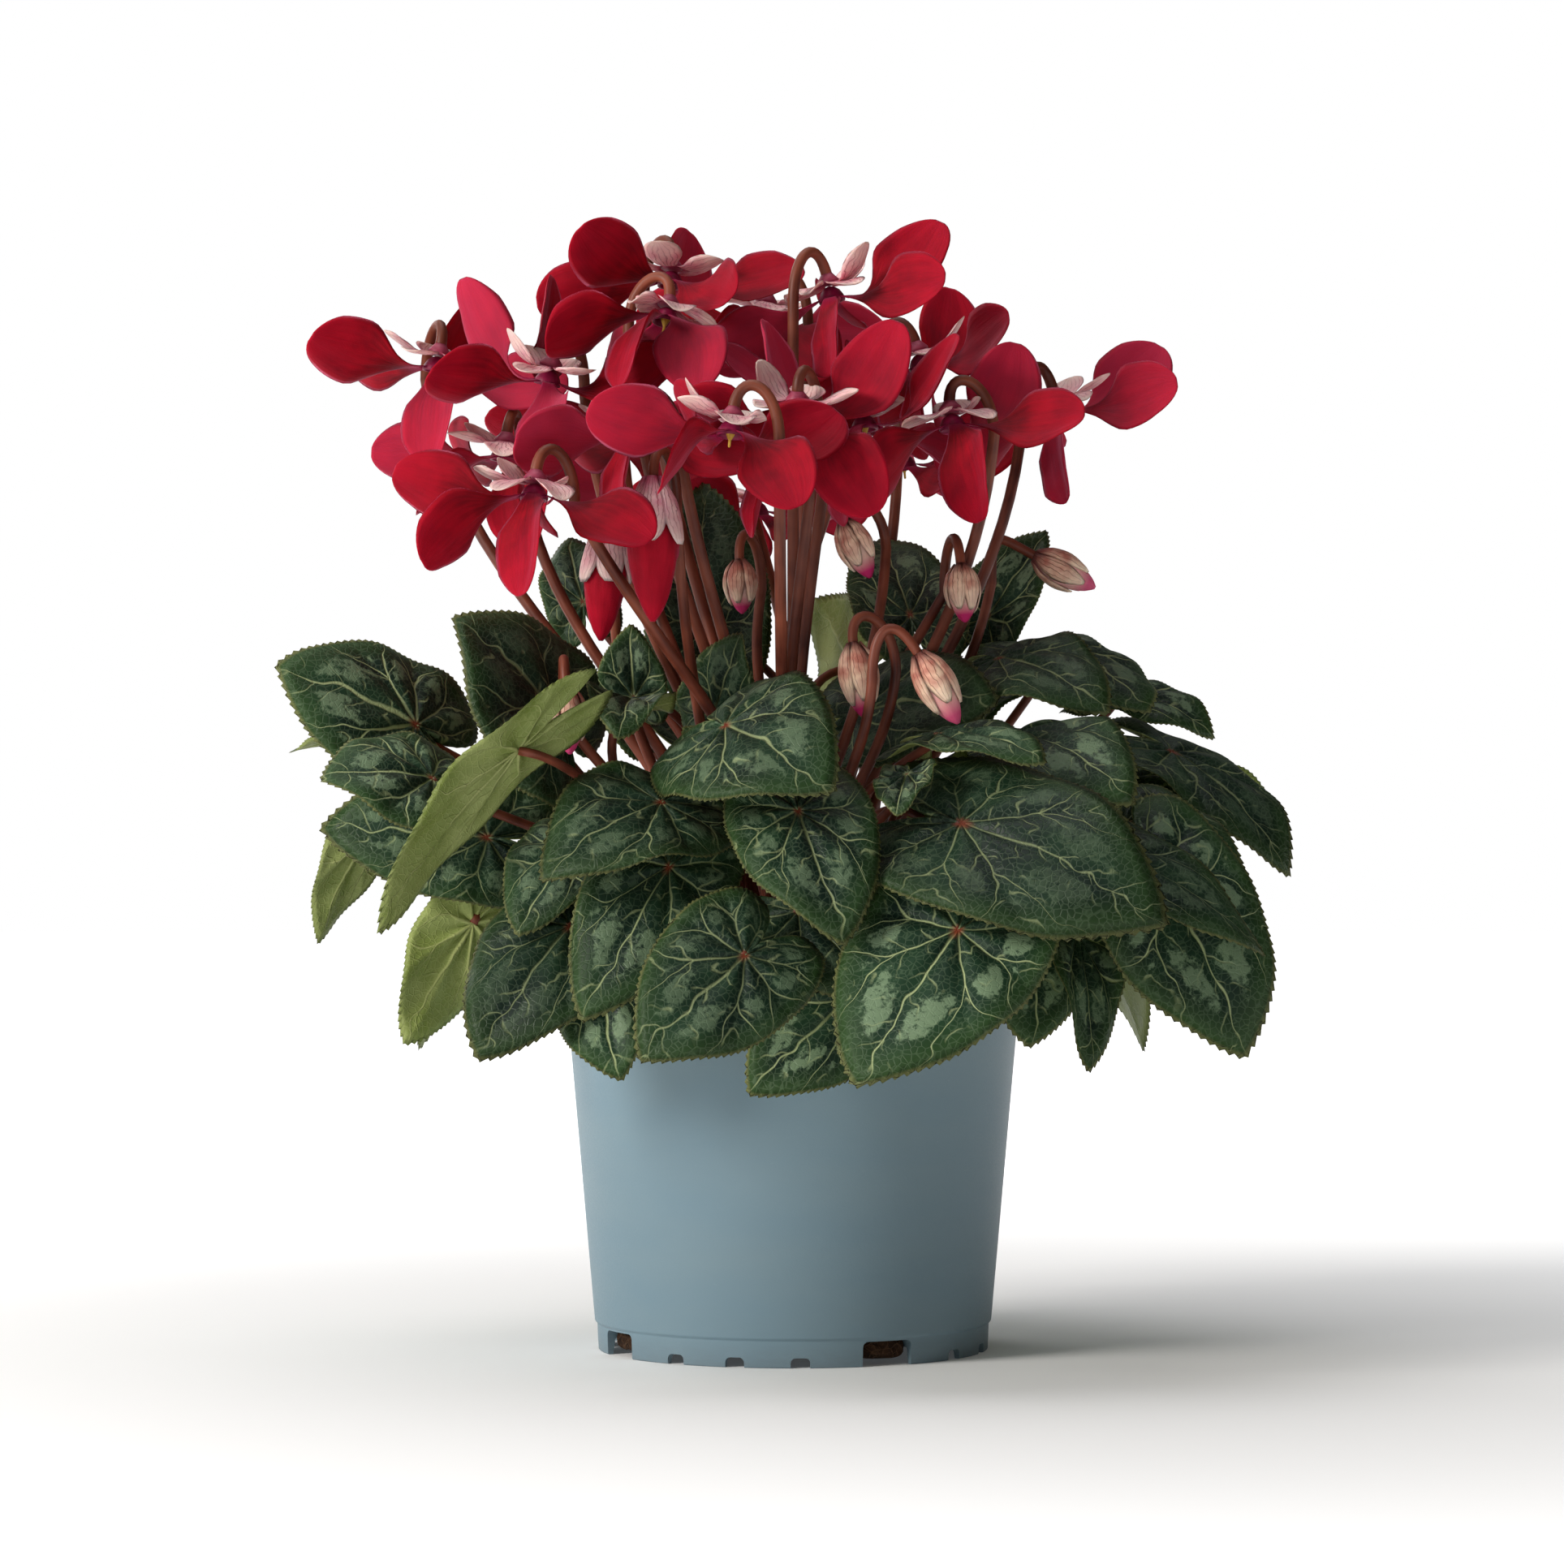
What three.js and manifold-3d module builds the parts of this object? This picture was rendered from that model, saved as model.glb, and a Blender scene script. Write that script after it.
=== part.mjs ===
// A potted cyclamen: a plastic nursery pot, its soil, the tuber that sits in the soil, sixty heart-shaped
// leaves in sprays of four, eighteen open blooms and nine buds. Millimetres, +Z up, and the viewer looks
// along +Y.
import * as THREE from "three";
import { mergeVertices } from "three/addons/utils/BufferGeometryUtils.js";
import Module from "manifold-3d";

const wasm = await Module();
wasm.setup();

// Driving dimensions.
const pot = {
  rimRadius: 60, height: 104, bandHeight: 18, bandStep: 1.2, wall: 1.5, segments: 24,
  footRadius: 51, footHeight: 7, footStep: 0.9, floorLow: 4.2, floorHigh: 5.7, floorCorner: 3,
};
const notch = { first: -62, width: 14, height: 6.4, inner: 42 };
const slit = { first: -107, apart: 19, width: 5, height: 2.6, inner: 46 };
const soil = { top: 92, mound: 1.5, gap: 0.3 };
const tuber = { radius: 25, low: 74, crown: 97, crownRadius: 21.8, segments: 16 };
const seat = 0.3; // clearance between a piece and what carries it
const cluster = { ring: 18.5, radius: 3, height: 2.2, fork: 14, apart: 1.35, sides: 6, firstTurn: -220 };
const blade = { thickness: 0.8, innerShare: 0.52, halfWidth: 0.6 };
const petiole = { radius: 1.2, sides: 3, steps: 5, joint: 1.6, behind: 13, overRim: 18, free: 10 };
const stem = { radius: 1.5, sides: 4, shaftSteps: 4, hookSteps: 4, pitch: 4.3, disc: 13.2 };
const hook = { reach: 11.5, drop: 7, rise: 15, entry: 12 };
const petal = {
  reach: 36, thickness: 0.8, cup: 2.4, depth: 5, fall: 0.35, radius: 3.1, root: 1.4, apex: 2.1, free: 12,
};
const sepal = {
  reach: 16, shortReach: 8.6, thickness: 0.8, cup: 1.4, depth: 1, fall: 0.4, radius: 2.6, root: 1.1,
  apex: 0.9, free: 9, above: 10, steepest: 26,
};
const clear = {
  spacing: 2.2, sheet: 2.6, tube: 3.5, step: 2, most: 32,
  bows: [6, 12, 20, 28], turns: [0, 8, 16], shares: [1, 0.85, 0.7], passes: 3,
};
const colour = {
  pot: "#7f99a5", soil: "#3d2a20", tuber: "#5a4634", leaf: "#2f4d37", stem: "#6d4133", petal: "#b5122a",
};

// Half a leaf's outline: degrees from the midrib, and the radius as a share of the midrib's length.
const leafOutline = [[0, 1], [25, 0.8], [55, 0.66], [90, 0.58], [125, 0.58], [155, 0.5], [180, 0.1]];
// Half widths of a petal and a sepal: the share of the length and millimetres.
const petalWidths = [[0.32, 3.6], [0.62, 9.6], [0.86, 7.8]];
const sepalWidths = [[0.62, 4.8]];

// The leaves that face the viewer, inner ones first. base is where the stalk meets the blade, tip is the
// blade's tip, face is where its upper side looks as azimuth and elevation, broad widens it, and arch, cup
// and wave bend it.
const frontLeaves = [
  { base: [-23, 45, 190], tip: [-24, 58, 230], face: [-90, 8], broad: 0.7, arch: 1, cup: 3, wave: 1 },
  { base: [16, 30, 178], tip: [5, 55, 198], face: [95, 30], broad: 0.8, arch: 2, cup: 2, wave: 1 },
  { base: [-56, 24, 196], tip: [-60, 36, 214], face: [-110, 38], broad: 0.8, arch: 2, cup: 2, wave: 1 },
  { base: [31, 12, 192], tip: [24, 45, 214], face: [-90, 52], broad: 0.65, arch: 2, cup: 7, wave: 1 },
  { base: [52, 28, 192], tip: [68, 34, 216], face: [-70, 46], broad: 0.6, arch: 2, cup: 8, wave: 1 },
  { base: [87, 25, 172], tip: [112, 17, 161], face: [-50, 40], broad: 0.7, arch: 3, cup: -3, wave: 1 },
  { base: [70, 20, 184], tip: [92, -2, 165], face: [-55, 30], broad: 0.95, arch: 3, cup: -4, wave: 1.5 },
  { base: [53, -6, 180], tip: [80, -30, 167], face: [-70, 32], broad: 0.8, arch: 4, cup: -4, wave: 1.5 },
  { base: [16, -22, 166], tip: [52, -42, 169], face: [-98, 40], broad: 0.85, arch: 3, cup: -2, wave: 1.5 },
  { base: [-20, -36, 166], tip: [-13, -46, 186], face: [-95, 34], broad: 0.8, arch: 1, cup: 1, wave: 1 },
  { base: [-41, -26, 170], tip: [-42, -32, 188], face: [-100, 34], broad: 0.85, arch: 1, cup: 1, wave: 1 },
  { base: [103, 25, 146], tip: [130, 20, 139], face: [55, 42], broad: 0.9, arch: 2, cup: 2, wave: 1 },
  { base: [82, -12, 148], tip: [108, -26, 140], face: [-52, 34], broad: 0.85, arch: 3, cup: -3, wave: 1 },
  { base: [98, 2, 156], tip: [128, -10, 125], face: [-40, 30], broad: 0.7, arch: 4, cup: -4, wave: 1.5 },
  { base: [84, -30, 138], tip: [114, -36, 124], face: [-60, 30], broad: 0.85, arch: 3, cup: -3, wave: 1 },
  { base: [62, -48, 112], tip: [59, -62, 82], face: [-80, 10], broad: 0.8, arch: 2, cup: -2, wave: 1 },
  { base: [92, -38, 124], tip: [112, -44, 80], face: [-62, 14], broad: 0.8, arch: 4, cup: -3, wave: 1.5 },
  { base: [74, -52, 132], tip: [116, -58, 105], face: [-80, 52], broad: 0.5, arch: 5, cup: -4, wave: 1 },
  { base: [56, -46, 160], tip: [84, -76, 143], face: [-75, 28], broad: 0.75, arch: 5, cup: -4, wave: 1.5 },
  { base: [13, -70, 94], tip: [-11, -80, 71], face: [-95, 6], broad: 0.8, arch: 2, cup: -2, wave: 1 },
  { base: [71, -60, 110], tip: [74, -76, 77], face: [-58, 12], broad: 0.5, arch: 2, cup: 6, wave: 1.5 },
  { base: [41, -64, 138], tip: [90, -84, 113], face: [-82, 32], broad: 0.75, arch: 5, cup: -4, wave: 2 },
  { base: [34, -60, 137], tip: [17, -84, 104], face: [48, -4], broad: 0.45, arch: 3, cup: 7, wave: 1 },
  { base: [1, -72, 116], tip: [22, -90, 94], face: [-84, 32], broad: 0.8, arch: 3, cup: -3, wave: 1 },
  { base: [40, -76, 112], tip: [15, -94, 74], face: [-88, 14], broad: 0.85, arch: 3, cup: -2, wave: 2 },
  { base: [-48, -66, 99], tip: [-43, -80, 75], face: [-104, 2], broad: 0.85, arch: 2, cup: -2, wave: 1 },
  { base: [-56, -50, 132], tip: [-69, -66, 110], face: [-108, 20], broad: 0.8, arch: 2, cup: -2, wave: 1 },
  { base: [-56, -58, 112], tip: [-78, -72, 79], face: [-112, 10], broad: 0.8, arch: 3, cup: -2, wave: 1.5 },
  { base: [-16, -52, 149], tip: [-27, -60, 162], face: [-92, 30], broad: 0.7, arch: 1, cup: 1, wave: 1 },
  { base: [-31, -72, 127], tip: [-52, -88, 89], face: [-94, 18], broad: 0.65, arch: 3, cup: -2, wave: 1.5 },
  { base: [1, -72, 141], tip: [12, -92, 109], face: [-88, 28], broad: 0.78, arch: 3, cup: -3, wave: 2 },
  { base: [-33, -70, 143], tip: [-62, -86, 125], face: [-98, 38], broad: 0.85, arch: 4, cup: -3, wave: 2.5 },
  { base: [-12, -80, 106], tip: [-37, -94, 81], face: [-92, 14], broad: 0.85, arch: 3, cup: -2, wave: 1.5 },
  { base: [-17, -56, 162], tip: [9, -80, 147], face: [-92, 28], broad: 1, arch: 4, cup: -3, wave: 1.5 },
  { base: [36, -64, 160], tip: [62, -84, 153], face: [-92, 68], broad: 0.6, arch: 3, cup: -2, wave: 1 },
  { base: [28, -64, 150], tip: [25, -78, 140], face: [-112, 34], broad: 0.75, arch: 1, cup: 2, wave: 0.5 },
  { base: [-41, -48, 169], tip: [-44, -70, 160], face: [-90, 45], broad: 0.8, arch: 3, cup: 4, wave: 1.5 },
  { base: [-60, -40, 165], tip: [-86, -48, 189], face: [-106, 36], broad: 1.15, arch: 3, cup: -2, wave: 1.5 },
  { base: [-112, 8, 134], tip: [-126, 14, 106], face: [120, 16], broad: 0.5, arch: 2, cup: 3, wave: 1 },
  { base: [-112, 14, 156], tip: [-134, 22, 157], face: [170, 58], broad: 0.6, arch: 2, cup: 2, wave: 1 },
  { base: [-98, -14, 163], tip: [-134, -22, 177], face: [-112, 40], broad: 1, arch: 3, cup: -3, wave: 1.5 },
  { base: [-78, -38, 134], tip: [-120, -42, 137], face: [-116, 14], broad: 0.72, arch: 3, cup: -2, wave: 1.5 },
  { base: [-80, 34, 122], tip: [-92, 46, 96], face: [150, 20], broad: 0.9, arch: 2, cup: -1, wave: 1 },
  { base: [-82, -34, 112], tip: [-98, -48, 82], face: [128, 16], broad: 0.6, arch: 2, cup: 3, wave: 1 },
  { base: [-68, -62, 156], tip: [-102, -78, 112], face: [150, 6], broad: 0.45, arch: 3, cup: 5, wave: 1 },
  { base: [-91, -34, 149], tip: [-118, -46, 148], face: [-106, 38], broad: 1.05, arch: 3, cup: -2, wave: 1.5 },
];
// The leaves behind, by rings: how many, the azimuths they spread over, base and tip as radius and height,
// and the elevation of the upper side.
const backRings = [
  { count: 4, from: 35, to: 145, base: [52, 168], tip: [84, 172], face: 62 },
  { count: 5, from: 24, to: 160, base: [78, 140], tip: [118, 128], face: 46 },
  { count: 5, from: 24, to: 158, base: [80, 112], tip: [104, 76], face: 20 },
];
const backShape = { broad: 0.9, arch: 4, cup: -3, wave: 1.5 };

// The open blooms. hub is the stem's end, shaft the azimuth at which the stem rises beside it, nod how far
// the bloom tips from straight down and towards which azimuth, and petals the azimuth and lift of each.
const blooms = [
  {
    hub: [-7, 35, 278], shaft: 20, nod: [10, 200], twist: 55,
    petals: [[20, 8], [95, 0], [165, -8], [240, -35], [310, -30]],
  },
  {
    hub: [33, 22, 264], shaft: 180, nod: [15, 0], twist: 60,
    petals: [[60, 38], [130, 5], [200, -5], [255, -50], [315, 8]],
  },
  {
    hub: [-32, 12, 285], shaft: 90, nod: [12, 250], twist: 55,
    petals: [[90, 28], [180, -14], [228, 10], [300, -22], [352, 8]],
  },
  {
    hub: [-93, 6, 262], shaft: 0, nod: [12, 190], twist: 60,
    petals: [[75, 46], [150, 8], [205, 0], [283, -55], [352, 5]],
  },
  {
    hub: [69, 12, 251], shaft: 195, nod: [14, 0], twist: 62,
    petals: [[22, 20], [105, 5], [185, -8], [258, -48], [330, -2]],
  },
  {
    hub: [-75, -5, 238], shaft: 60, nod: [8, 200], twist: 58,
    petals: [[25, -5], [120, 12], [184, -4], [232, -34], [295, -50]],
  },
  {
    hub: [-32, -24, 272], shaft: 60, nod: [20, 240], twist: 45,
    petals: [[20, -20], [110, -10], [205, -32], [250, -58], [300, -52]],
  },
  {
    hub: [9, -10, 279], shaft: 190, nod: [12, 350], twist: 58,
    petals: [[0, 26], [88, 5], [175, -20], [262, -42], [325, -6]],
  },
  {
    hub: [18, -20, 245], shaft: 40, nod: [10, 300], twist: 55,
    petals: [[95, 58], [180, -5], [248, -62], [328, 34], [28, -12]],
  },
  {
    hub: [-62, -30, 256], shaft: 340, nod: [14, 150], twist: 60,
    petals: [[105, 52], [162, 40], [215, -5], [280, -32], [345, 28]],
  },
  {
    hub: [40, -36, 244], shaft: 70, nod: [10, 320], twist: 58,
    petals: [[41, 44], [108, 5], [212, -34], [278, -60], [338, -6]],
  },
  {
    hub: [-40, -48, 240], shaft: 20, nod: [10, 260], twist: 60,
    petals: [[60, 14], [132, 20], [198, 4], [264, -52], [335, -14]],
  },
  {
    hub: [1, -58, 245], shaft: 90, nod: [16, 90], twist: 50,
    petals: [[18, 44], [105, 36], [190, -6], [240, -40], [310, -38]],
  },
  {
    hub: [-15, -72, 239], shaft: 340, nod: [12, 240], twist: 56,
    petals: [[40, 8], [112, 18], [192, 2], [238, -40], [312, -42]],
  },
  {
    hub: [-64, -74, 224], shaft: 350, nod: [10, 250], twist: 56,
    petals: [[95, 14], [178, 8], [205, -40], [268, -62], [350, -6]],
  },
  {
    hub: [-48, 52, 244], shaft: 270, nod: [12, 120], twist: 58,
    petals: [[40, 20], [105, -10], [180, 10], [245, -20], [320, 5]],
  },
  {
    hub: [30, 64, 240], shaft: 250, nod: [12, 60], twist: 58,
    petals: [[15, 15], [80, -15], [150, 20], [225, -10], [300, 10]],
  },
  {
    hub: [-10, 82, 228], shaft: 270, nod: [14, 90], twist: 56,
    petals: [[30, 5], [100, -35], [170, 10], [240, 20], [310, 12]],
  },
];
// The buds and the two blooms that are still furled, with length and girth of the closed flower.
const buds = [
  { hub: [-57, -76, 172], shaft: 95, nod: [8, 300], length: 17, girth: 4.2 },
  { hub: [-35, -70, 224], shaft: 60, nod: [4, 270], length: 36, girth: 6.5 },
  { hub: [-47, -42, 214], shaft: 80, nod: [4, 200], length: 30, girth: 5.5 },
  { hub: [15, -58, 183], shaft: 20, nod: [10, 330], length: 19, girth: 4.4 },
  { hub: [31, -72, 180], shaft: 180, nod: [30, 0], length: 20, girth: 4.4 },
  { hub: [13, -40, 215], shaft: 20, nod: [25, 0], length: 16, girth: 4 },
  { hub: [43, -29, 204], shaft: 110, nod: [8, 300], length: 15, girth: 4 },
  { hub: [64, 12, 208], shaft: 180, nod: [62, 0], length: 18, girth: 4.3 },
  { hub: [-14, -8, 206], shaft: 60, nod: [6, 300], length: 14, girth: 3.8 },
];
// A closed flower's outline: the share of its length and of its girth.
const budProfile = [[0.06, 0.4], [0.2, 0.8], [0.45, 1], [0.75, 0.75], [1, 0.16]];
const leavesPerSpray = 4;
const budsPerSpray = 3;

// Vectors.

const radians = THREE.MathUtils.degToRad;
const up = new THREE.Vector3(0, 0, 1);
const vector = (list) => new THREE.Vector3(...list);
const wrapped = (degrees) => ((degrees % 360) + 360) % 360;

// A unit vector from an azimuth and an elevation in degrees.
function heading(azimuth, elevation = 0) {
  const flat = Math.cos(radians(elevation));
  return new THREE.Vector3(
    flat * Math.cos(radians(azimuth)), flat * Math.sin(radians(azimuth)), Math.sin(radians(elevation)),
  );
}

// A new point: start, moved along each direction by the amount that follows it.
function along(start, ...steps) {
  const point = start.clone();
  for (let i = 0; i < steps.length; i += 2) point.addScaledVector(steps[i], steps[i + 1]);
  return point;
}

// Solids.

function meshOf(points, faces) {
  const geometry = new THREE.BufferGeometry();
  const flat = points.flatMap((p) => p.toArray());
  geometry.setAttribute("position", new THREE.Float32BufferAttribute(flat, 3));
  geometry.setIndex(faces.flat());
  geometry.computeVertexNormals();
  return geometry;
}

function solidOf(geometry) {
  const bare = geometry.clone();
  bare.deleteAttribute("normal");
  bare.deleteAttribute("uv");
  const merged = mergeVertices(bare, 1e-3);
  const vertProperties = merged.attributes.position.array;
  const triVerts = new Uint32Array(merged.index.array);
  return new wasm.Manifold(new wasm.Mesh({ numProp: 3, vertProperties, triVerts }));
}

function geometryOf(solid) {
  const mesh = solid.getMesh();
  const geometry = new THREE.BufferGeometry();
  geometry.setAttribute("position", new THREE.BufferAttribute(mesh.vertProperties, 3));
  geometry.setIndex(new THREE.BufferAttribute(mesh.triVerts, 1));
  geometry.computeVertexNormals();
  return geometry;
}

function joined(geometries) {
  return geometryOf(geometries.map(solidOf).reduce((all, next) => all.add(next)));
}

// The rings of a tube along a line that leaves the crown upright, with a radius for each point. The section
// turns as little as it can.
function tubeRings(line, radii, sides) {
  let side = new THREE.Vector3(1, 0, 0);
  return line.map((point, i) => {
    const ahead = line[Math.min(line.length - 1, i + 1)];
    const tangent = i === 0 ? up : ahead.clone().sub(line[i - 1]).normalize();
    side = along(side, tangent, -side.dot(tangent)).normalize();
    const other = new THREE.Vector3().crossVectors(tangent, side);
    return Array.from({ length: sides }, (_, k) => {
      const turn = (2 * Math.PI * k) / sides;
      return along(point, side, radii[i] * Math.cos(turn), other, radii[i] * Math.sin(turn));
    });
  });
}

// The faces of a tube whose rings start at vertex first, closed where it starts.
function tubeFaces(ringCount, sides, first) {
  const faces = [];
  for (let k = 1; k + 1 < sides; k++) faces.push([first, first + k + 1, first + k]);
  for (let i = 0; i + 1 < ringCount; i++) {
    for (let k = 0; k < sides; k++) {
      const a = first + i * sides + k;
      const b = first + i * sides + ((k + 1) % sides);
      faces.push([a, b, b + sides], [a, b + sides, a + sides]);
    }
  }
  return faces;
}

function tube(line, radii, sides) {
  const rings = tubeRings(line, radii, sides);
  const last = (rings.length - 1) * sides;
  const faces = tubeFaces(rings.length, sides, 0);
  for (let k = 1; k + 1 < sides; k++) faces.push([last, last + k, last + k + 1]);
  return meshOf(rings.flat(), faces);
}

// The faces between a ring and a wider loop round it, both anticlockwise seen along the ring's own axis.
function stitched(points, ring, loop) {
  const centre = ring.reduce((sum, i) => sum.add(points[i]), new THREE.Vector3()).divideScalar(ring.length);
  const side = points[ring[0]].clone().sub(centre).normalize();
  const axis = new THREE.Vector3().crossVectors(side, points[ring[1]].clone().sub(centre)).normalize();
  const other = new THREE.Vector3().crossVectors(axis, side);
  const angle = (i) => {
    const arm = points[i].clone().sub(centre);
    return (Math.atan2(arm.dot(other), arm.dot(side)) + 2 * Math.PI) % (2 * Math.PI);
  };
  const lowest = loop.indexOf(loop.reduce((best, i) => (angle(i) < angle(best) ? i : best)));
  const outer = [...loop.slice(lowest), ...loop.slice(0, lowest)];
  const turnOf = (list, i) => angle(list[i % list.length]) + 2 * Math.PI * Math.floor(i / list.length);
  const faces = [];
  let i = 0;
  let k = 0;
  while (i < outer.length || k < ring.length) {
    const here = outer[i % outer.length];
    const inner = ring[k % ring.length];
    if (k < ring.length && turnOf(ring, k + 1) <= turnOf(outer, i + 1)) {
      faces.push([inner, ring[(k + 1) % ring.length], here]);
      k += 1;
    } else {
      faces.push([outer[(i + 1) % outer.length], here, inner]);
      i += 1;
    }
  }
  return faces;
}

// A closed blade of even thickness round a sheet, the middle surface. Rings of a stalk that comes from below
// are joined to the blade's lower side, in place of the fan round point 0.
function bladeSolid(sheet, thickness, stalk = []) {
  const count = sheet.points.length;
  const normals = meshOf(sheet.points, sheet.faces).attributes.normal;
  const side = (shift) => sheet.points.map((p, i) => {
    return along(p, new THREE.Vector3().fromBufferAttribute(normals, i), shift);
  });
  const points = [...side(thickness / 2), ...side(-thickness / 2), ...stalk.flat()];
  const open = new Map();
  for (const [a, b, c] of sheet.faces) {
    for (const [from, to] of [[a, b], [b, c], [c, a]]) {
      if (!open.delete(`${to} ${from}`)) open.set(`${from} ${to}`, [from, to]);
    }
  }
  const below = stalk.length ? sheet.faces.filter(([a]) => a !== 0) : sheet.faces;
  const faces = [...sheet.faces, ...below.map(([a, b, c]) => [a + count, c + count, b + count])];
  for (const [from, to] of open.values()) {
    faces.push([from, from + count, to + count], [from, to + count, to]);
  }
  if (stalk.length) {
    const sides = stalk[0].length;
    const loop = sheet.faces.filter(([a]) => a === 0).map(([, b]) => b + count);
    const ring = stalk[0].map((_, k) => points.length - sides + k);
    faces.push(...tubeFaces(stalk.length, sides, 2 * count), ...stitched(points, ring, loop));
  }
  return meshOf(points, faces);
}

// Room between pieces, from sample points on each, which are kept in cells of space.

const cells = new Map();
const nearby = [-1, 0, 1].flatMap((i) => [-1, 0, 1].flatMap((j) => [-1, 0, 1].map((k) => [i, j, k])));
function cellAt(point, [di, dj, dk] = [0, 0, 0]) {
  const [i, j, k] = point.toArray().map((value) => Math.floor(value / clear.tube) + 200);
  return ((i + di) * 1000 + j + dj) * 1000 + k + dk;
}

function sheetSamples({ points, faces }) {
  return faces.flatMap((face) => {
    const [a, b, c] = face.map((i) => points[i]);
    const [first, second] = [b.clone().sub(a), c.clone().sub(a)];
    const steps = Math.ceil(Math.max(first.length(), second.length(), b.distanceTo(c)) / clear.spacing);
    const samples = [];
    for (let i = 0; i <= steps; i++) {
      for (let j = 0; j <= steps - i; j++) samples.push(along(a, first, i / steps, second, j / steps));
    }
    return samples;
  });
}

// Samples along a stalk, from where it has left the crown.
function lineSamples(line) {
  const samples = line.slice(1).flatMap((end, i) => {
    const steps = Math.ceil(line[i].distanceTo(end) / clear.spacing);
    return Array.from({ length: steps }, (_, k) => line[i].clone().lerp(end, (k + 1) / steps));
  });
  return samples.filter((p) => p.z > tuber.crown + cluster.height + clear.spacing);
}

// The distance to what is placed, apart from the owner's own samples, near its end its own blade's and, low
// down, its whole spray's.
function roomOf(samples, most, owner) {
  let room = most;
  for (const sample of samples) {
    const low = sample.z < tuber.crown + cluster.fork;
    const near = owner.blade && sample.distanceTo(owner.end) < petiole.free;
    for (const shift of nearby) {
      for (const other of cells.get(cellAt(sample, shift)) ?? []) {
        if (other.owner === owner || (near && other.owner === owner.blade)) continue;
        if (low && owner.spray && other.owner.spray === owner.spray) continue;
        room = Math.min(room, sample.distanceTo(other.sample));
      }
    }
  }
  return room;
}

function keep(samples, owner) {
  for (const sample of samples) {
    const cell = cellAt(sample);
    if (!cells.has(cell)) cells.set(cell, []);
    cells.get(cell).push({ sample, owner });
  }
}

// Takes back samples that were kept.
function release(samples) {
  for (const sample of samples) {
    const list = cells.get(cellAt(sample));
    list.splice(list.findIndex((other) => other.sample === sample), 1);
  }
}

// The first choice that keeps the gap to what others own, or else the clearest.
function settle(choices, samplesOf, gap, owner) {
  let best = null;
  for (const choice of choices) {
    const samples = samplesOf(choice);
    const room = roomOf(samples, gap, owner);
    if (!best || room > best.room) best = { choice, samples, room };
    if (room >= gap) break;
  }
  keep(best.samples, owner);
  return best;
}
const slides = Array.from({ length: Math.floor(clear.most / clear.step) + 1 }, (_, i) => i * clear.step);
const bows = [new THREE.Vector3()];
for (const reach of clear.bows) {
  for (let azimuth = 0; azimuth < 360; azimuth += 45) bows.push(heading(azimuth).multiplyScalar(reach));
}
const bothWays = slides.flatMap((slide) => [-slide, slide]);
const signed = clear.turns.flatMap((turn) => (turn ? [-turn, turn] : [0]));
const changes = signed.flatMap((turn) => {
  return signed.map((lift) => ({ turn, lift, size: Math.hypot(turn, lift) }));
});
changes.sort((a, b) => a.size - b.size);
const shifts = slides.flatMap((slide) => changes.map((change) => ({ ...change, slide })));
shifts.sort((a, b) => a.slide + a.size - b.slide - b.size);

// Leaves.

function leafRadius(degrees) {
  return leafOutline.find(([angle]) => angle === Math.abs(degrees))[1];
}

// A leaf's own axes: along the midrib, across it and out of its upper side.
function leafFrame(leaf) {
  const [base, tip] = [vector(leaf.base), vector(leaf.tip)];
  const x = tip.clone().sub(base).normalize();
  const face = heading(leaf.face[0] + (leaf.turn ?? 0), leaf.face[1] + (leaf.lift ?? 0));
  const z = along(face, x, -face.dot(x)).normalize();
  const y = new THREE.Vector3().crossVectors(z, x);
  return { base: along(base, leaf.push, leaf.slide ?? 0), length: base.distanceTo(tip), x, y, z };
}

// A point of the blade's middle surface: degrees from the midrib, share of the way to the margin.
function leafPoint(leaf, frame, degrees, share) {
  const radius = leafRadius(degrees) * share;
  const turn = radians(degrees);
  const s = radius * Math.cos(turn);
  const across = radius * Math.sin(turn) * leaf.broad;
  const bend = 4 * leaf.arch * s * (1 - s) + leaf.cup * (across / blade.halfWidth) ** 2;
  const ripple = leaf.wave * share ** 3 * Math.sin(3 * turn + leaf.phase);
  return along(frame.base, frame.x, s * frame.length, frame.y, across * frame.length, frame.z, bend + ripple);
}

// A fan to the inner points, then a band to the margin with two of its points to each inner one.
function leafSheet(leaf) {
  const frame = leafFrame(leaf);
  const half = leafOutline.map(([angle]) => angle);
  const angles = [...half, ...half.slice(1, -1).reverse().map((angle) => -angle)];
  const inner = angles.filter((_, i) => i % 2 === 0);
  const points = [leafPoint(leaf, frame, 0, 0)];
  inner.forEach((angle) => points.push(leafPoint(leaf, frame, angle, blade.innerShare)));
  angles.forEach((angle) => points.push(leafPoint(leaf, frame, angle, 1)));
  const faces = inner.flatMap((_, i) => {
    const here = 1 + i;
    const next = 1 + ((i + 1) % inner.length);
    const rim = (k) => 1 + inner.length + ((2 * i + k) % angles.length);
    return [[0, here, next], [here, rim(0), rim(1)], [here, rim(1), next], [next, rim(1), rim(2)]];
  });
  return { points, faces };
}

// The stalk rises from the crown, clears the pot's rim and meets the blade from behind.
function petioleLine(leaf, bow) {
  const frame = leafFrame(leaf);
  const end = along(frame.base, frame.z, -petiole.joint);
  const outward = new THREE.Vector3(end.x, end.y, 0).normalize();
  const rise = Math.max(22, (end.z - tuber.crown) * 0.45);
  const behind = along(end, frame.z, -petiole.behind, frame.x, -petiole.behind / 2, outward, -4, bow, 0.8);
  behind.z = Math.max(behind.z, pot.height + petiole.overRim);
  const above = along(leaf.root, up, rise, outward, 5, bow, 1);
  return new THREE.CubicBezierCurve3(leaf.root, above, behind, end).getPoints(petiole.steps);
}

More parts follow.
